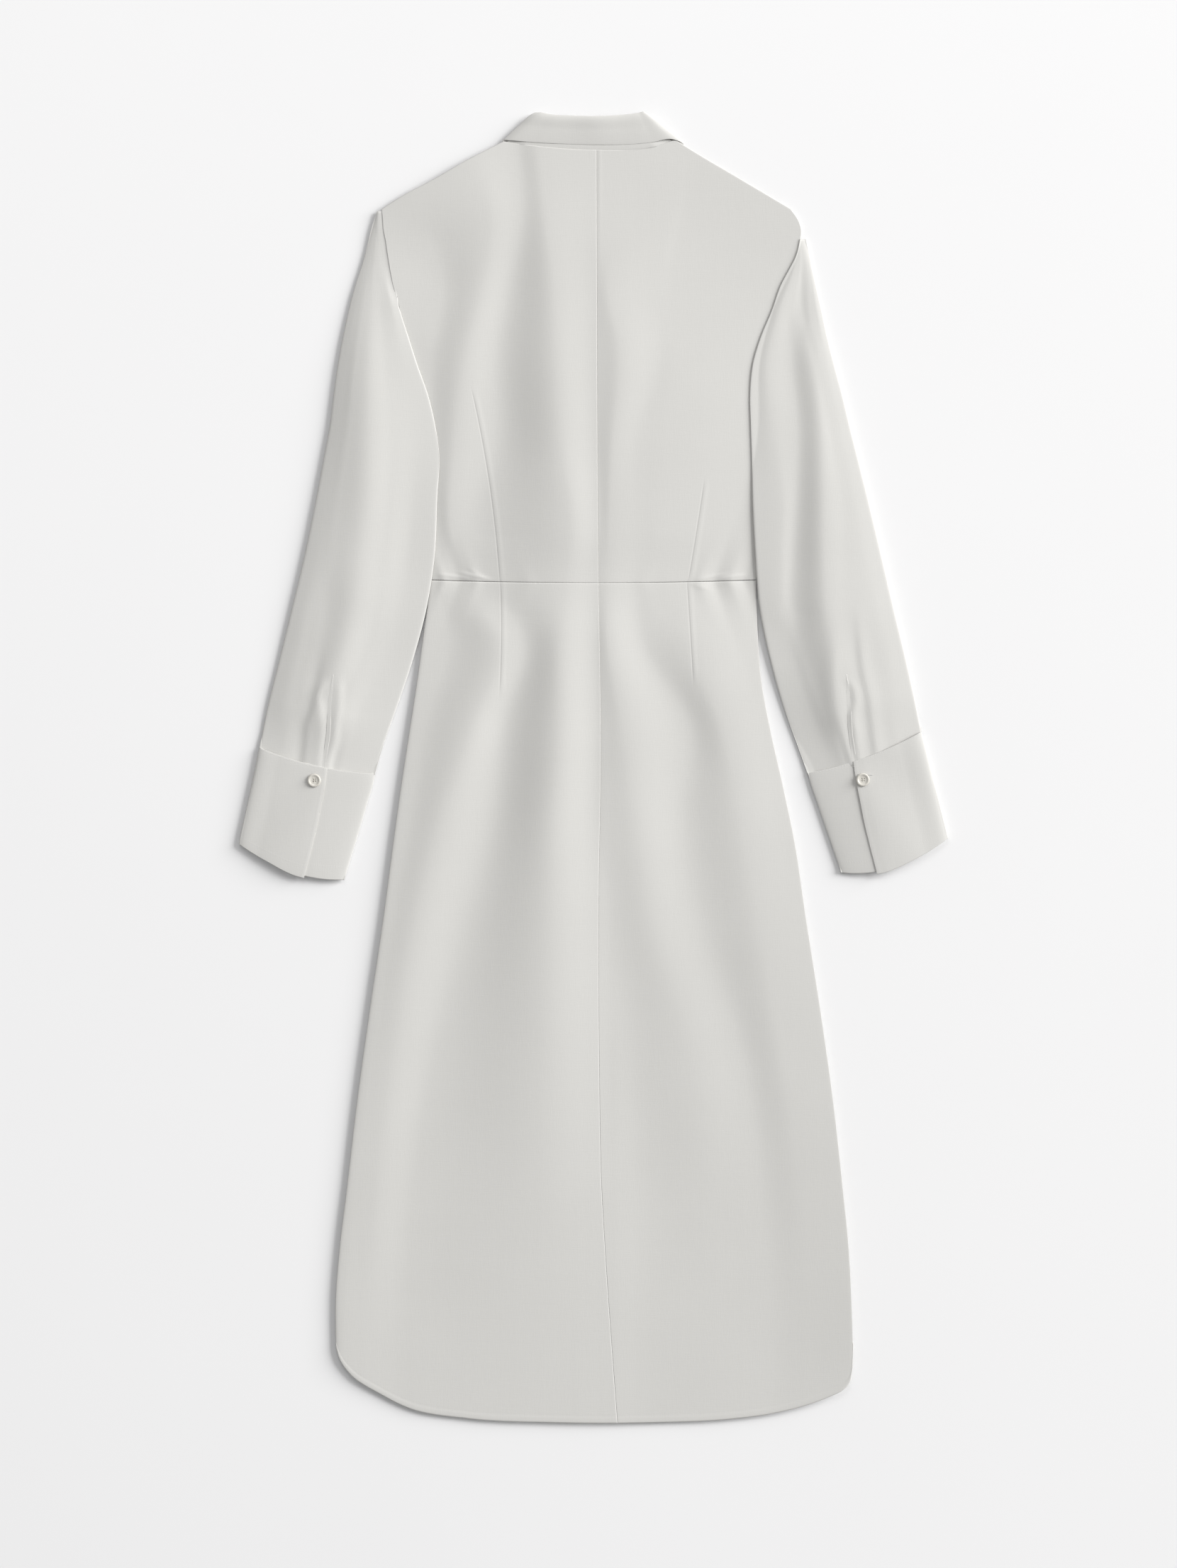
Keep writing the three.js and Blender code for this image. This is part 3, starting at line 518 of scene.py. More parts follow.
# ---- Sleeves ----
# One flattened tube of the same cotton each, set into the armhole and laid down beside the body with its
# inner side over the bodice. Soft folds run down it, and two pleats by the slit gather it into the cuff.
# y, x of the outer and inner fold of the left sleeve, x of the inner and outer fold of the right sleeve
SLEEVE_EDGE = [
    (519, -200.5, -199, 184, 186.5), (510, -203.8, -197.8, 190, 193), (500, -207, -196.6, 193, 196.2),
    (491, -209.2, -194.8, 192, 197.6), (475, -213, -191.6, 188.2, 201), (462, -217, -188.8, 181.5, 203.8),
    (450, -221, -186, 175, 206.5), (424, -228, -179.7, 165.5, 212.5), (400, -233.2, -172, 155.5, 217.7),
    (375, -237.8, -164, 148, 224), (345, -242, -153.5, 145.4, 232), (320, -245, -147.5, 146, 238),
    (290, -250.5, -143.4, 147, 245.5), (250, -258, -145.2, 147.8, 255.5),
    (195, -269.3, -147.8, 150.5, 268.6),
    (146, -281, -155.5, 154.5, 280), (100, -292.2, -167.8, 164, 291), (50, -304.5, -184.8, 178.6, 301.8),
    (20, -310.4, -195.5, 189.5, 307.5), (-12, -317, -204.6, 201, 314.5),
]
# y, then x and height of each fold line from side to side, as in the back's table
# Its heights follow a fit worked out by another program.
SLEEVE_LINES = {
    -1: [
        (519, -200.5, 3.2, -200.2, 3.5, -199.9, 3.7, -199.6, 3.8, -199.4, 3.8, -199.2, 3.8, -199, 3.8),
        (475, -213, 2.8, -210, 3.5, -206.5, 4.1, -203, 4.5, -199.4, 4.6, -195.6, 4.4, -191.6, 3.6),
        (424, -228, 3.3, -221, 5.0, -214, 6.1, -206, 6.5, -196, 6.2, -188, 6.2, -179.7, 5.4),
        (375, -237.8, 3.9, -229, 6.2, -221, 8.0, -208, 9.2, -192, 8.0, -178, 7.2, -164, 6.2),
        (320, -245, 4.3, -235, 6.8, -226, 8.9, -209, 10.8, -186, 8.7, -165, 6.8, -147.5, 5.7),
        (250, -258, 4.5, -247, 6.8, -236, 8.8, -212, 11.4, -188, 8.7, -165, 6.4, -145.2, 5.9),
        (195, -269.3, 4.5, -256, 7.1, -243, 8.9, -219, 11.0, -194, 8.5, -170, 5.9, -147.8, 5.5),
        (146, -281, 4.3, -265, 6.8, -251, 7.6, -224, 10.6, -200, 8.3, -178, 6.1, -155.5, 5.1),
        (100, -292.2, 3.7, -275, 6.4, -261, 7.2, -236, 10.2, -214, 7.5, -190, 5.1, -167.8, 4.0),
        (50, -304.5, 3.2, -286, 6.0, -272, 6.9, -254, 8.8, -238, 8.7, -215, 5.8, -184.8, 3.2),
        (20, -310.4, 3.0, -291, 5.8, -278, 6.7, -263, 8.0, -246, 8.4, -222, 5.8, -195.5, 2.6),
        (-12, -316, 3.0, -297, 5.4, -284, 6.2, -268, 7.6, -250, 8.0, -228, 5.6, -203, 2.4),
    ],
    1: [
        (519, 184, 3.4, 184.4, 3.4, 184.8, 3.4, 185.3, 3.4, 185.7, 3.4, 186.1, 3.3, 186.5, 3.2),
        (475, 186.5, 4.2, 189, 4.5, 191.5, 4.5, 194, 4.3, 196.4, 4.1, 198.8, 3.7, 201, 3.0),
        (424, 165.5, 4.7, 173, 5.6, 185, 4.9, 194, 4.5, 201, 4.9, 207, 4.8, 212.5, 3.7),
        (375, 148, 5.0, 162, 6.5, 184, 5.5, 203, 7.6, 209, 7.4, 216, 6.8, 224, 5.4),
        (320, 146, 5.6, 166, 7.0, 189, 6.3, 210, 9.0, 219, 8.1, 228, 7.2, 238, 5.8),
        (250, 147.8, 6.3, 175, 7.3, 188, 6.7, 213, 10.6, 232, 9.0, 242, 8.2, 255.5, 6.5),
        (195, 150.5, 6.0, 174, 6.8, 185, 6.2, 214, 11.0, 235, 9.8, 250, 8.9, 268.6, 6.8),
        (146, 154.5, 5.5, 176, 6.5, 184, 6.4, 217, 11.5, 236, 10.5, 260, 9.2, 280, 7.1),
        (100, 164, 4.3, 185, 5.0, 196, 6.3, 226, 10.8, 244, 9.6, 270, 8.5, 291, 6.4),
        (60, 176, 3.0, 198, 4.9, 210, 7.0, 232, 10.0, 252, 9.3, 278, 7.9, 299, 5.8),
        (25, 189, 2.4, 210, 4.4, 221, 6.4, 240, 9.3, 258, 7.6, 284, 6.8, 307, 5.0),
        (-12, 199, 2.2, 216, 4.0, 228, 6.4, 244, 7.8, 262, 7.0, 288, 6.4, 314, 4.8),
    ],
}
# Creases by the cuff: points y, x down the line; width to the left and to the right; height; fade in over mm
SLEEVE_CREASES = {
    -1: [
        ([(120, -249), (94, -255), (76, -258.7), (54, -264), (39, -269.3), (26, -270.6), (6, -273),
          (-16, -275)],
         7.5, 3.2, -0.79, 60),
        ([(84, -247), (78, -250), (67, -255.4), (54, -253.4), (36, -251.5), (19, -253.4), (3, -254.8),
          (-16, -255.5)],
         9.2, 2.4, 0.79, 14),
        ([(90, -241), (60, -245), (36, -246), (19, -247.5), (3, -250), (-16, -252)], 4.6, 5, -0.43, 14),
        ([(88, -235.6), (54, -236.3), (39, -239), (21, -240.2), (10, -244), (-16, -248)], 7.5, 2.8, 0.72,
         18),
        ([(180, -250), (140, -254), (100, -262), (70, -268)], 6.9, 7.5, 0.29, 60),
    ],
    1: [
        ([(130, 221), (98, 221.5), (76, 222), (47, 224.7), (26, 229.5), (6, 236.8), (-12, 242)], 10.3, 6.2,
         0.94, 60),
        ([(86, 232), (76, 239.5), (63, 242.5), (47, 240.5), (32, 242.5), (21, 243.5), (6, 246), (-12, 249)],
         2.5, 5.6, 0.65, 16),
        ([(82, 234), (63, 237), (47, 236), (21, 239), (6, 242), (-12, 245)], 3.4, 3.8, -0.36, 14),
        ([(160, 243), (120, 247), (92, 250), (63, 256), (36, 259.4), (13, 262.7), (-12, 266)], 3, 8.1, 0.72,
         70),
    ],
}


LAP_END = {-1: (0.585, 0.62), 1: (0.60, 0.665)}  # share from the outer fold, at the seam and at the edge
CUFF_THICK = 0.8
# Round the cuff's band from its upper end: place, share of the width (1 is the lap's end), height
CUFF_ROUND = {
    -1: [(0, 1.0, 7.15), (0.01, 0.978, 7.27), (0.03, 0.93, 7.3), (0.10, 0.74, 7.1), (0.24, 0.32, 6.2),
         (0.352, 0.012, 4.6), (0.36, 0.0, 4.2), (0.375, 0.03, 3.0), (0.42, 0.2, 1.3), (0.5, 0.5, 1.1),
         (0.60, 1.0, 1.1),
         (0.72, 1.50, 1.2), (0.775, 1.65, 2.4), (0.79, 1.667, 3.2), (0.805, 1.65, 3.8), (0.91, 1.15, 6.2),
         (1.0, 0.70, 6.2)],
    1: [(0, 1.0, 7.4), (0.01, 0.978, 7.55), (0.03, 0.93, 7.7), (0.10, 0.80, 7.9), (0.24, 0.34, 7.1),
        (0.352, 0.012, 5.6), (0.36, 0.0, 5.1), (0.375, 0.03, 3.6), (0.42, 0.2, 1.3), (0.5, 0.5, 1.1),
        (0.60, 1.0, 1.1),
        (0.72, 1.45, 1.2), (0.775, 1.56, 2.2), (0.79, 1.575, 2.8), (0.805, 1.56, 3.3), (0.91, 1.08, 6.1),
        (1.0, 0.72, 6.6)],
}


def cuff_level(side, share):
    """Height of the cuff's upper face by share of its width from the outer fold: the lap, then beyond it."""
    rows = np.array(CUFF_ROUND[side])
    lap = np.mean(LAP_END[side])
    full = rows[:, 1].max()
    place = np.where(rows[:, 1] > 1, lap + (rows[:, 1] - 1) / (full - 1) * (1 - lap), rows[:, 1] * lap)
    folds = np.argmin(rows[:, 1]), np.argmax(rows[:, 1])
    over = np.interp(share, place[: folds[0] + 1][::-1], rows[: folds[0] + 1, 2][::-1])
    under = np.interp(share, place[folds[1]: -1][::-1], rows[folds[1]: -1, 2][::-1])
    return over + (under - over) * ease(lap - 0.03, lap + 0.03, share)


def crease(x, y, path, left, right, height, fade):
    """A ridge along a path down the cloth: a bell across it, wider on one side, faded in from the top."""
    off = x - through(path, y)[0]
    top, end = path[0][0], path[-1][0]
    across = np.exp(-((off / np.where(off < 0, left, right)) ** 2))
    return height * across * ease(top, top - fade, y)


def sleeve_top(x, y, side, into_cuff=0.0, seam=0.0):
    """Upper face of a sleeve above the table: long folds, brought to the cuff's level, then the pleats."""
    z = from_lines(SLEEVE_LINES[side], y, x)
    z = z + (seam - z) * into_cuff
    for path, left, right, height, fade in SLEEVE_CREASES[side]:
        z = z + crease(x, y, path, left, right, height, fade)
    return z


def sleeve(name, side):
    """A closed tube, one ring of cloth at each place down the arm. Round a ring the middle height plus or
    minus half the thickness follows a rounded-off oval, so both folded edges are round."""
    rows, half_ring = 210, 72
    down = np.linspace(0, 1, rows + 1)
    top_y, outer_end = (517.0, 16.0) if side < 0 else (491.0, 30.0)
    outer_y, inner_y = top_y - down * (top_y - outer_end), top_y - down * (top_y + 9.5)
    cols = (0, 1) if side < 0 else (3, 2)
    outer = np.column_stack([through(SLEEVE_EDGE, outer_y)[cols[0]], outer_y])
    inner = np.column_stack([through(SLEEVE_EDGE, inner_y)[cols[1]], inner_y])
    turn = np.pi * np.arange(half_ring) / half_ring
    share = np.concatenate([(1 - np.cos(turn)) / 2, (1 + np.cos(turn)) / 2])
    upper = np.concatenate([np.ones(half_ring), -np.ones(half_ring)])
    plan = outer[:, None] + (inner - outer)[:, None] * share[None, :, None]
    sag = 5.0 * down[:, None] ** 3 * 4 * share * (1 - share)
    x, y = plan[..., 0], plan[..., 1] - sag
    body_edge = through(BODY_EDGE, np.clip(y, -540, 519))[0 if side < 0 else 1]
    past_edge = side * (body_edge - x)
    inside = ease(-6, 3, past_edge)
    body = back_height(x, np.minimum(y, 519))
    low = 0.9 + inside * (body - 0.8)
    # the left sleeve's head runs flush up to the armhole seam and on beneath the body
    head = ease(428, 450, y) if side < 0 else 0 * y
    flush, tucked = head * ease(-8, -0.5, past_edge), head * ease(-0.1, 0.5, past_edge)
    x = x - side * 2.2 * head * ease(0.6, 1.0, share)[None]
    into_cuff = ease(0.90, 0.985, down)[:, None] + 0 * x
    seam = cuff_level(side, share) - 1.5
    top = sleeve_top(x, y, side, into_cuff, seam)
    top = np.maximum(top, low + 1.4)
    low = low + (2.2 - low) * ease(0.97, 0.99, down)[:, None]
    top = top + (body - 0.12 - top) * flush - 0.7 * tucked
    low = np.minimum(low + (1.0 - low) * tucked, top - 0.9)
    fold = low + 0.66 * (top - low)
    crisp = (1 - np.abs(2 * share - 1) ** 70) ** 0.5
    soft = (1 - np.abs(2 * share - 1) ** 9) ** 0.6
    grid = np.dstack([x, y, fold + np.where(upper > 0, crisp * (top - fold), -soft * (fold - low))])
    if side < 0:
        grid = grid[:, ::-1]
    return cloth_skin(name, grid, THICK, sleeve_look, closed=True)


sleeve_look = cloth_look("sleeve_poplin")
for side, node, cuff_node in ((-1, "sleeve_left", "cuff_left"), (1, "sleeve_right", "cuff_right")):
    piece = sleeve(node + "_cloth", side)
    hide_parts(node)


# ---- Slit bindings ----
# A narrow strip of the same cotton binds the slit above each cuff. It lies in the channel between the pleats.
SLITS = {
    -1: [(92, -241), (58, -245), (30, -246.5), (6, -250), (-4, -251)],
    1: [(94, 234), (60, 237), (32, 238.5), (8, 242), (-4, 243)],
}
for side, word in ((-1, "left"), (1, "right")):
    up = np.linspace(86, -1, 70)
    across = np.linspace(-2.0, 2.0, 13)
    x = through(SLITS[side], up)[0][:, None] + across * (0.25 + 0.75 * ease(90, 66, up))[:, None]
    y = up[:, None] + 0 * across
    cols = (0, 1) if side < 0 else (3, 2)
    outer_x, inner_x = through(SLEEVE_EDGE, y)[list(cols)]
    near_cuff = ease(0.90, 0.985, (519 - y) / (523 if side < 0 else 519))
    level = cuff_level(side, (x - outer_x) / (inner_x - outer_x)) - 1.5
    z = sleeve_top(x, y, side, near_cuff, level) + 0.1 - 0.18 * np.exp(-((2.0 - np.abs(across)) / 0.5))
    piece = cloth_skin("slit_binding_" + word + "_cloth", np.dstack([x, y, z])[:, ::-1], 0.5, sleeve_look)
    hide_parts("slit_binding_" + word)
    "sleeve_" + word


# ---- Cuffs ----
# A deep band of two layers of the cotton with a lining between, buttoned round the sleeve's end. Its end with
# the buttonhole lies over the other end; a row of stitches runs just inside its edges.
# The outer and inner fold and how far the middle hangs below them: x, y, x, y, sag, from the seam to the edge
CUFF_ROWS = {
    -1: [(-310.9, 18.2, -202.9, -6.1, 5), (-314.5, 0, -205.6, -19, 6), (-318.8, -20, -210.5, -34.5, 7),
         (-324, -44, -216.4, -55, 8), (-330, -71.3, -231.7, -105, 9.5)],
    1: [(305.1, 32.9, 199, -5.5, 5), (309.5, 17, 202.8, -19, 6.5), (315, -6, 209, -36.5, 8),
        (321, -30, 216, -57, 9.5), (330, -66, 230.2, -98.3, 11)],
}


def cuff_grid(side, rows=60, cols=280):
    """The band's outer face: across the width by the round, down the depth by the rows, the middle hung."""
    down, place = crowded(rows, 0.7), crowded(cols, 0.9)
    share, z = through(CUFF_ROUND[side], place)
    lap = LAP_END[side][0] + (LAP_END[side][1] - LAP_END[side][0]) * down[:, None]
    full = np.array(CUFF_ROUND[side])[:, 1].max()
    beyond = np.clip((share - 1) / (full - 1), 0, 1)
    share = np.clip(share, 0, 1)[None] * lap + beyond[None] * (1 - lap)
    outer_x, outer_y, inner_x, inner_y, sag = through(
        [(k / 4,) + row for k, row in enumerate(CUFF_ROWS[side])], down)[:, :, None]
    x = outer_x + (inner_x - outer_x) * share
    y = outer_y + (inner_y - outer_y) * share - sag * 4 * share * (1 - share)
    y = y - 2.4 * down[:, None] ** 2 * ease(0.22, 0.05, place)
    wave = 0.35 * np.sin(share * 9 + down[:, None] * 5) * np.exp(-((share - 0.3) / 0.5) ** 2) * (place < 0.35)
    press = 0.25 * np.exp(-down[:, None] / 0.03) + 0.25 * np.exp(-(1 - down[:, None]) / 0.03)
    upward = np.where((place > 0.36) & (place < 0.79), 1, -1)
    z = z[None] + wave + upward * press
    grid = np.dstack([x, y, z + 0 * x])
    width, depth = place[None] * 330 + 0 * x, down[:, None] * 88 + 0 * x
    return (grid, (width, depth)) if side < 0 else (grid[::-1], (width[::-1], depth[::-1]))


def stitch_row(across, inset, along, pitch=0.0024):
    """1 on a broken line of thread at one distance over the cloth: a bell across it by a wave along it."""
    off = (across - inset) / 0.0004
    dash = across.maths("SINE", along * (2 * math.pi / pitch)) * 2.0 + 1.0
    return across.maths("POWER", 2.718, -(off * off)) * across.node(
        "ShaderNodeClamp", (), {0: dash, 1: 0.0, 2: 1.0})


def cut_of(look):
    """The two distances over the flat cloth, from the piece's own UV map."""
    tree = look.node_tree
    flat = Num(tree, tree.nodes.new("ShaderNodeTexCoord").outputs["UV"])
    split = flat.node("ShaderNodeSeparateXYZ", (), {0: flat}).socket.node
    return Num(tree, split.outputs[0]), Num(tree, split.outputs[1])


def cuff_marks(x, y, look):
    """Rows of stitches a little inside the cuff's seam, its edge and its lap, and the worked slit of the
    buttonhole that shows beside the right cuff's button, sunk and darkened with painted shade for its
    opening."""
    width, depth = cut_of(look)
    threads = (stitch_row(depth, 0.0018, width) + stitch_row(depth, 0.0825, width) * 0.4
               + stitch_row(width, 0.0055, depth) * 0.4)
    off_end, off_line = (x - 0.2560) / 0.0026, (y + 0.0080) / 0.0005
    slit = x.maths("POWER", 2.718, -(off_end * off_end * off_end * off_end) - off_line * off_line)
    edge = x.maths("POWER", 2.718,
                   -(off_end * off_end * off_end * off_end) * 0.6 - off_line * off_line * 0.16)
    # the slit's colour is darkened as painted shade inside the buttonhole's opening; the stitches are made a
    # little lighter
    return threads * 0.00007 + edge * 0.00025 - slit * 0.0005, threads * -0.15 + slit * 4.0


cuff_cloth = cloth_look("cuff_poplin", cuff_marks)


bands = {}
for side, word in ((-1, "left"), (1, "right")):
    band, cut = cuff_grid(side)
    bands[word] = band
    piece = cloth_skin("cuff_" + word + "_cloth", band, CUFF_THICK, cuff_cloth, cut=cut)
    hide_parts("cuff_" + word)
    "sleeve_" + word


# ---- Collar ----
# A stand sewn round the neck with a fall folded over it. The fall lies over the back of the neck, turns
# under at both sides, and its two points lie beneath, on the front.
# place along it, then x, y, z of its free edge and of the fold along its top, and its turn from back to front
FALL = [
    (0.00, -48, 482, 1.0, -14, 542, 1.2, 1.0), (0.12, -66, 530, 1.0, -34, 574, 1.3, 1.0),
    (0.22, -79, 570, 1.2, -50.5, 602, 1.6, 0.94), (0.27, -84.6, 582.6, 3.6, -55.2, 609.2, 4.2, 0.5),
    (0.31, -78, 582.5, 6.0, -50, 609, 6.8, 0.08), (0.37, -56, 580.5, 6.8, -38, 606.5, 8.2, 0.0),
    (0.44, -21, 578.8, 6.7, -19, 605.5, 8.6, 0.0), (0.50, 4, 578.2, 6.8, 2, 605, 9.3, 0.0),
    (0.56, 28, 578.4, 6.7, 24, 606, 8.6, 0.0), (0.64, 54, 580.5, 6.7, 41, 608, 8.1, 0.0),
    (0.70, 74, 583.4, 6.4, 47.5, 609.2, 7.2, 0.08), (0.735, 84.5, 578.6, 4.2, 51.5, 607.2, 4.4, 0.5),
    (0.78, 74, 566, 1.2, 46, 600, 1.6, 0.94), (0.88, 64, 530, 1.0, 38, 574, 1.3, 1.0),
    (1.00, 56, 482, 1.0, 22, 542, 1.2, 1.0),
]
# Across the fall from its free edge: place, share up to the fold, how far inward of the outer face
FALL_ROUND = [(0, 0, 0.2), (0.1, 0.05, 0.05), (0.5, 0.5, -0.25), (0.8, 0.93, 0.15), (0.86, 0.995, 1.1),
              (0.9, 0.98, 2.2),
              (1.0, 0.72, 2.5)]


def collar_fall(rows=36, cols=320):
    """Each station runs from the free edge to the fold and a little back beneath; inward turns from downward
    on the back, through sideways at the side folds, to upward on the front."""
    along, over = np.linspace(0, 1, cols + 1), crowded(rows, 0.6)
    ax, ay, az, bx, by, bz, turn = through(FALL, along)
    turn = np.clip(turn, 0, 1)
    share, inward = through(FALL_ROUND, over)
    share, inward = share[:, None], inward[:, None]
    angle = turn * np.pi
    side = np.where(along < 0.5, 1, -1)
    in_x, in_y, in_z = side * 0.68 * np.sin(angle), -0.73 * np.sin(angle), -np.cos(angle)
    x = ax + (bx - ax) * share + in_x * inward
    y = ay + (by - ay) * share + in_y * inward
    z = az + (bz - az) * share + in_z * inward
    return np.dstack([x, y, z])


collar_look = cloth_look("collar_poplin")
fall = cloth_skin("collar_fall_cloth", collar_fall(), 0.6, collar_look)
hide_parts("collar_fall")

# The stand: from the neck seam up under the fall
station = np.linspace(0, 1, 160)
neck_x = -82 + station * 156
neck_y = through(NECK, neck_x)[0]
rise_up = crowded(24, 0.6)[:, None]
x = neck_x + rise_up * (2 - neck_x) * 0.42
y = neck_y - 1.2 + rise_up * 27
z = 6.0 + 0.5 * np.sin(np.pi * rise_up) - 1.6 * ease(0.12, 0.0, station) - 1.6 * ease(0.88, 1.0,
                                                                                      station) + 0 * x
z = z - 0.5 * np.exp(-rise_up / 0.04)
stand = cloth_skin("collar_stand_cloth", np.dstack([x, y, z]), 0.9, collar_look)
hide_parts("collar_stand")


# ---- Front: bodice and skirt, with the button band ----
# The same cotton, flat on the table under the back and joined to it at the side seams and shoulders. A band
# 30 mm wide runs down each front edge, the one with the buttonholes outside.
FRONT_NECK = [(-84, 581.5), (-60, 545), (-30, 523), (4, 516), (35, 523), (58, 546), (76, 583)]
BAND_HALF = 15.0  # mm
BAND_LEVEL = {-1: 3.2, 1: 2.3}  # mm, upper face of the band's layer on each side


def front_height(x, y, side):
    """Upper face of the front: flat on the table, up to its band in the middle and the back at the sides."""
    column = 0 if side < 0 else 1
    outside = np.abs(x - through(BODY_EDGE, np.clip(y, -540, 519))[column])
    z = 0.9 + (BAND_LEVEL[side] - 0.9) * ease(46, 18, np.abs(x - CENTRE_X))
    seam = np.clip(back_height(x, y) - 2.4, 0.9, 3.2)
    return z + (seam - z) * np.exp(-((outside / 9.0) ** 2))


def front_part(name, side, bodice, look):
    """Half the front: a grid between its edges, facing down."""
    m, n = (80, 40) if bodice else (110, 40)
    column = 0 if side < 0 else 1
    y = np.linspace(174.2, TIP_Y, m + 1) if bodice else np.linspace(-540, 173.8, m + 1)
    outer = np.column_stack([through(BODY_EDGE, y)[column], y])
    inner_x = CENTRE_X + side * (BAND_HALF - 3)
    waist_x = np.linspace(inner_x, outer[0 if bodice else -1, 0], n + 1)
    waist = np.column_stack([waist_x, waist_line(waist_x)])
    if bodice:
        shoulder = LEFT_SHOULDER[::-1] if side < 0 else RIGHT_SHOULDER
        neck_x = np.linspace(inner_x, shoulder[0][0], 9)
        bottom, top = waist, joined_path(list(zip(neck_x, through(FRONT_NECK, neck_x)[0])), shoulder, n=n)
    else:
        bottom, top = joined_path(hem_from(inner_x, side), n=n), waist
    inner_y = np.linspace(bottom[0, 1], top[0, 1], m + 1)
    inner = np.column_stack([0 * inner_y + inner_x, inner_y])
    u, v = crowded(n, 0.6), crowded(m, 0.6)
    grid = between_edges(resample(bottom, u), resample(top, u), resample(inner, v), resample(outer, v), u, v)
    z = front_height(grid[..., 0], grid[..., 1], side) - THICK
    grid = np.dstack([grid, z])
    return cloth_skin(name, grid if side < 0 else grid[:, ::-1], THICK, look)


front_look = cloth_look("front_poplin")
for side, word in ((-1, "left"), (1, "right")):
    for part, flat, area in (("bodice", (0.205, 0.412), 0.064), ("skirt", (0.265, 0.785), 0.156)):
        node = "front_" + part + "_" + word
        piece = front_part(node + "_cloth", side, part == "bodice", front_look)
        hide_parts(node)
    band_y = np.linspace(516.1, -609.5, 200)[:, None]
    band_x = CENTRE_X + BAND_HALF * (2 * crowded(12, 0.7) - 1)[None]
    dip = 0.3 * np.exp(-((BAND_HALF - np.abs(band_x - CENTRE_X)) / 0.6))
    z = BAND_LEVEL[side] - 0.9 + dip + 0 * band_y
    node = "placket_under" if side < 0 else "placket_over"
    piece = cloth_skin(node + "_cloth", np.dstack([band_x + 0 * band_y, band_y + 0 * band_x, z]), 0.8,
                       front_look)
    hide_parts(node)
    "front_bodice_" + word
    "front_skirt_" + word


# ---- Buttons ----
# Small off-white plastic buttons with a raised rim and four holes, sewn on with cotton: one on each cuff,
# nine down the front.
def button_look():
    """Glossy resin with a faint pearly cloudiness."""
    look, shader, place, _ = start_look("button_resin", 0.28, Coat_Roughness=0.1)
    cloud = place.node("ShaderNodeTexNoise", (),
                       {"Vector": place, "Scale": 260.0, "Detail": 3.0, "Distortion": 1.2})
    tint = place.node("ShaderNodeMix", {"data_type": "RGBA"}, {
        0: cloud, 6: (0.58, 0.555, 0.50, 1.0), 7: (0.72, 0.70, 0.65, 1.0)}, 2)
    tint.into(shader, "Base Color")
    return look


def thread_look():
    """Twisted cotton thread."""
    look, shader, place, (x, y, z) = start_look("button_thread", 0.8)
    twist = place.maths("SINE", (x + y) * 16000.0) * 0.5 + 0.5
    tint = place.node("ShaderNodeMix", {"data_type": "RGBA"}, {
        0: twist, 6: (0.50, 0.48, 0.43, 1.0), 7: (0.66, 0.64, 0.59, 1.0)}, 2)
    tint.into(shader, "Base Color")
    return look


HOLE_OUT, HOLE_RADIUS = 1.25, 0.62  # mm


def thread_bar(start, end, level, thick):
    """A low bow of thread from hole to hole: rings of a tube whose middle rises as a half sine."""
    run, turn = np.linspace(0, 1, 9), np.linspace(0, 2 * np.pi, 8, endpoint=False)
    line = np.array(start) + run[:, None] * (np.array(end) - np.array(start))
    side = np.array([end[1] - start[1], start[0] - end[0]]) / math.dist(start, end)
    plan = line[:, None] + side * (thick * np.cos(turn))[None, :, None]
    height = level - 0.25 + 0.55 * np.sin(np.pi * run)[:, None] + thick * np.sin(turn)[None]
    index = np.arange(72).reshape(9, 8)
    nxt = np.roll(index, -1, 1)
    faces = np.stack([index[:-1], nxt[:-1], nxt[1:], index[1:]], -1).reshape(-1, 4).tolist()
    return np.dstack([plan, height]).reshape(-1, 3), faces + [index[0, ::-1].tolist(), index[-1].tolist()]


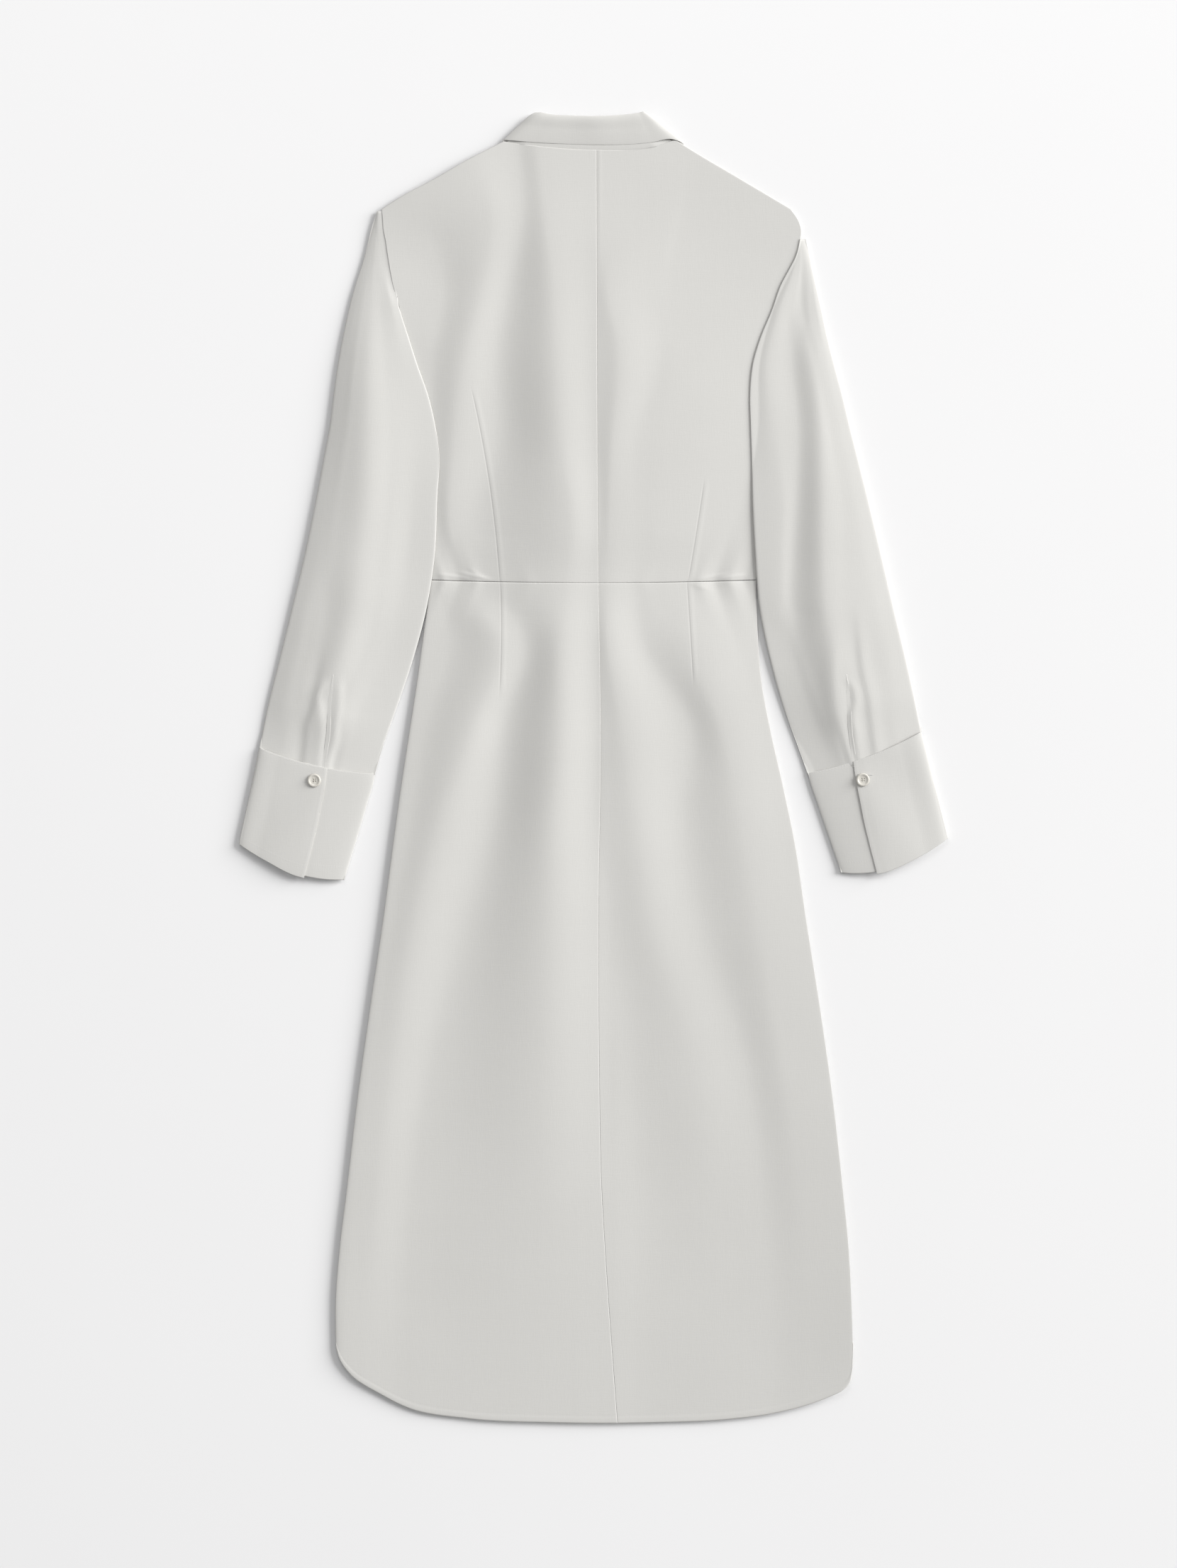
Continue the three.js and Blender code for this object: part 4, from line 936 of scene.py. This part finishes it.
def button_mesh(name, centre, radius, thick, up, base):
    """A disc turned from its section, its face dished inside a rounded rim, with four round pits, and two
    bows of thread across them."""
    rings, around = 36, 56
    section = np.array([(0.0, 0.62), (0.30, 0.60), (0.52, 0.62), (0.66, 0.80), (0.76, 0.98), (0.86, 1.0),
                        (0.95, 0.86),
                        (1.0, 0.55), (0.97, 0.25), (0.88, 0.06), (0.7, 0.0), (0.0, 0.0)])
    far = np.concatenate([[0], np.cumsum(np.hypot(*np.diff(section, axis=0).T))])
    at = np.linspace(0, far[-1], rings)
    r, h = np.interp(at, far, section[:, 0]) * radius, np.interp(at, far, section[:, 1]) * thick
    angle = np.linspace(0, 2 * np.pi, around, endpoint=False)
    r[0] = r[-1] = 0.02
    x, y = r[:, None] * np.cos(angle), r[:, None] * np.sin(angle)
    z = h[:, None] + 0 * x
    face = (np.arange(rings) < rings * 0.42)[:, None]
    for hx, hy in ((1, 1), (1, -1), (-1, 1), (-1, -1)):
        off = np.hypot(x - hx * HOLE_OUT / 1.4142, y - hy * HOLE_OUT / 1.4142)
        z = np.where(face, z - 0.42 * thick * ease(HOLE_RADIUS, HOLE_RADIUS * 0.55, off), z)
    points = np.stack([x, y, z], -1).reshape(-1, 3)
    index = np.arange(rings * around).reshape(rings, around)
    nxt = np.roll(index, -1, 1)
    faces = np.stack([index[:-1], index[1:], nxt[1:], nxt[:-1]], -1).reshape(-1, 4)
    faces = faces.tolist() + [index[0].tolist(), index[-1, ::-1].tolist()]
    disc = len(faces)
    out = HOLE_OUT / 1.4142
    for across in (-out, out):
        bar, bar_faces = thread_bar((-out, across), (out, across), 0.6 * thick, 0.22)
        faces += [[k + len(points) for k in face] for face in bar_faces]
        points = np.concatenate([points, bar])
    # turned over for the front's buttons, whose faces look down
    points = points * (1, up, up) + (centre[0], centre[1], base + (0 if up > 0 else thick))
    mesh = bpy.data.meshes.new(name)
    mesh.from_pydata((points * MM).tolist(), [], faces)
    mesh.polygons.foreach_set("use_smooth", np.ones(len(mesh.polygons), bool))
    mesh.polygons.foreach_set("material_index", np.arange(len(faces)) >= disc)
    mesh.materials.append(resin)
    mesh.materials.append(cotton_thread)
    piece = bpy.data.objects.new(name, mesh)
    bpy.context.collection.objects.link(piece)
    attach(piece, "root")
    return piece


resin, cotton_thread = button_look(), thread_look()
for node in sorted(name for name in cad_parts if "button" in name and "band" not in name):
    low, high = [np.array(corner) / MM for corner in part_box(node)]
    middle, radius = (low + high) / 2, (high[0] - low[0]) / 2
    on_cuff = "cuff" in node
    base = low[2]
    if on_cuff:  # on the cuff's upper face
        spots = bands[node.rsplit("_", 1)[1]].reshape(-1, 3)
        base = spots[np.hypot(spots[:, 0] - middle[0], spots[:, 1] - middle[1]) < 3.0, 2].max() + 0.05
    piece = button_mesh(node + "_resin", middle[:2], radius, high[2] - low[2], 1 if on_cuff else -1, base)
    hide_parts(node)
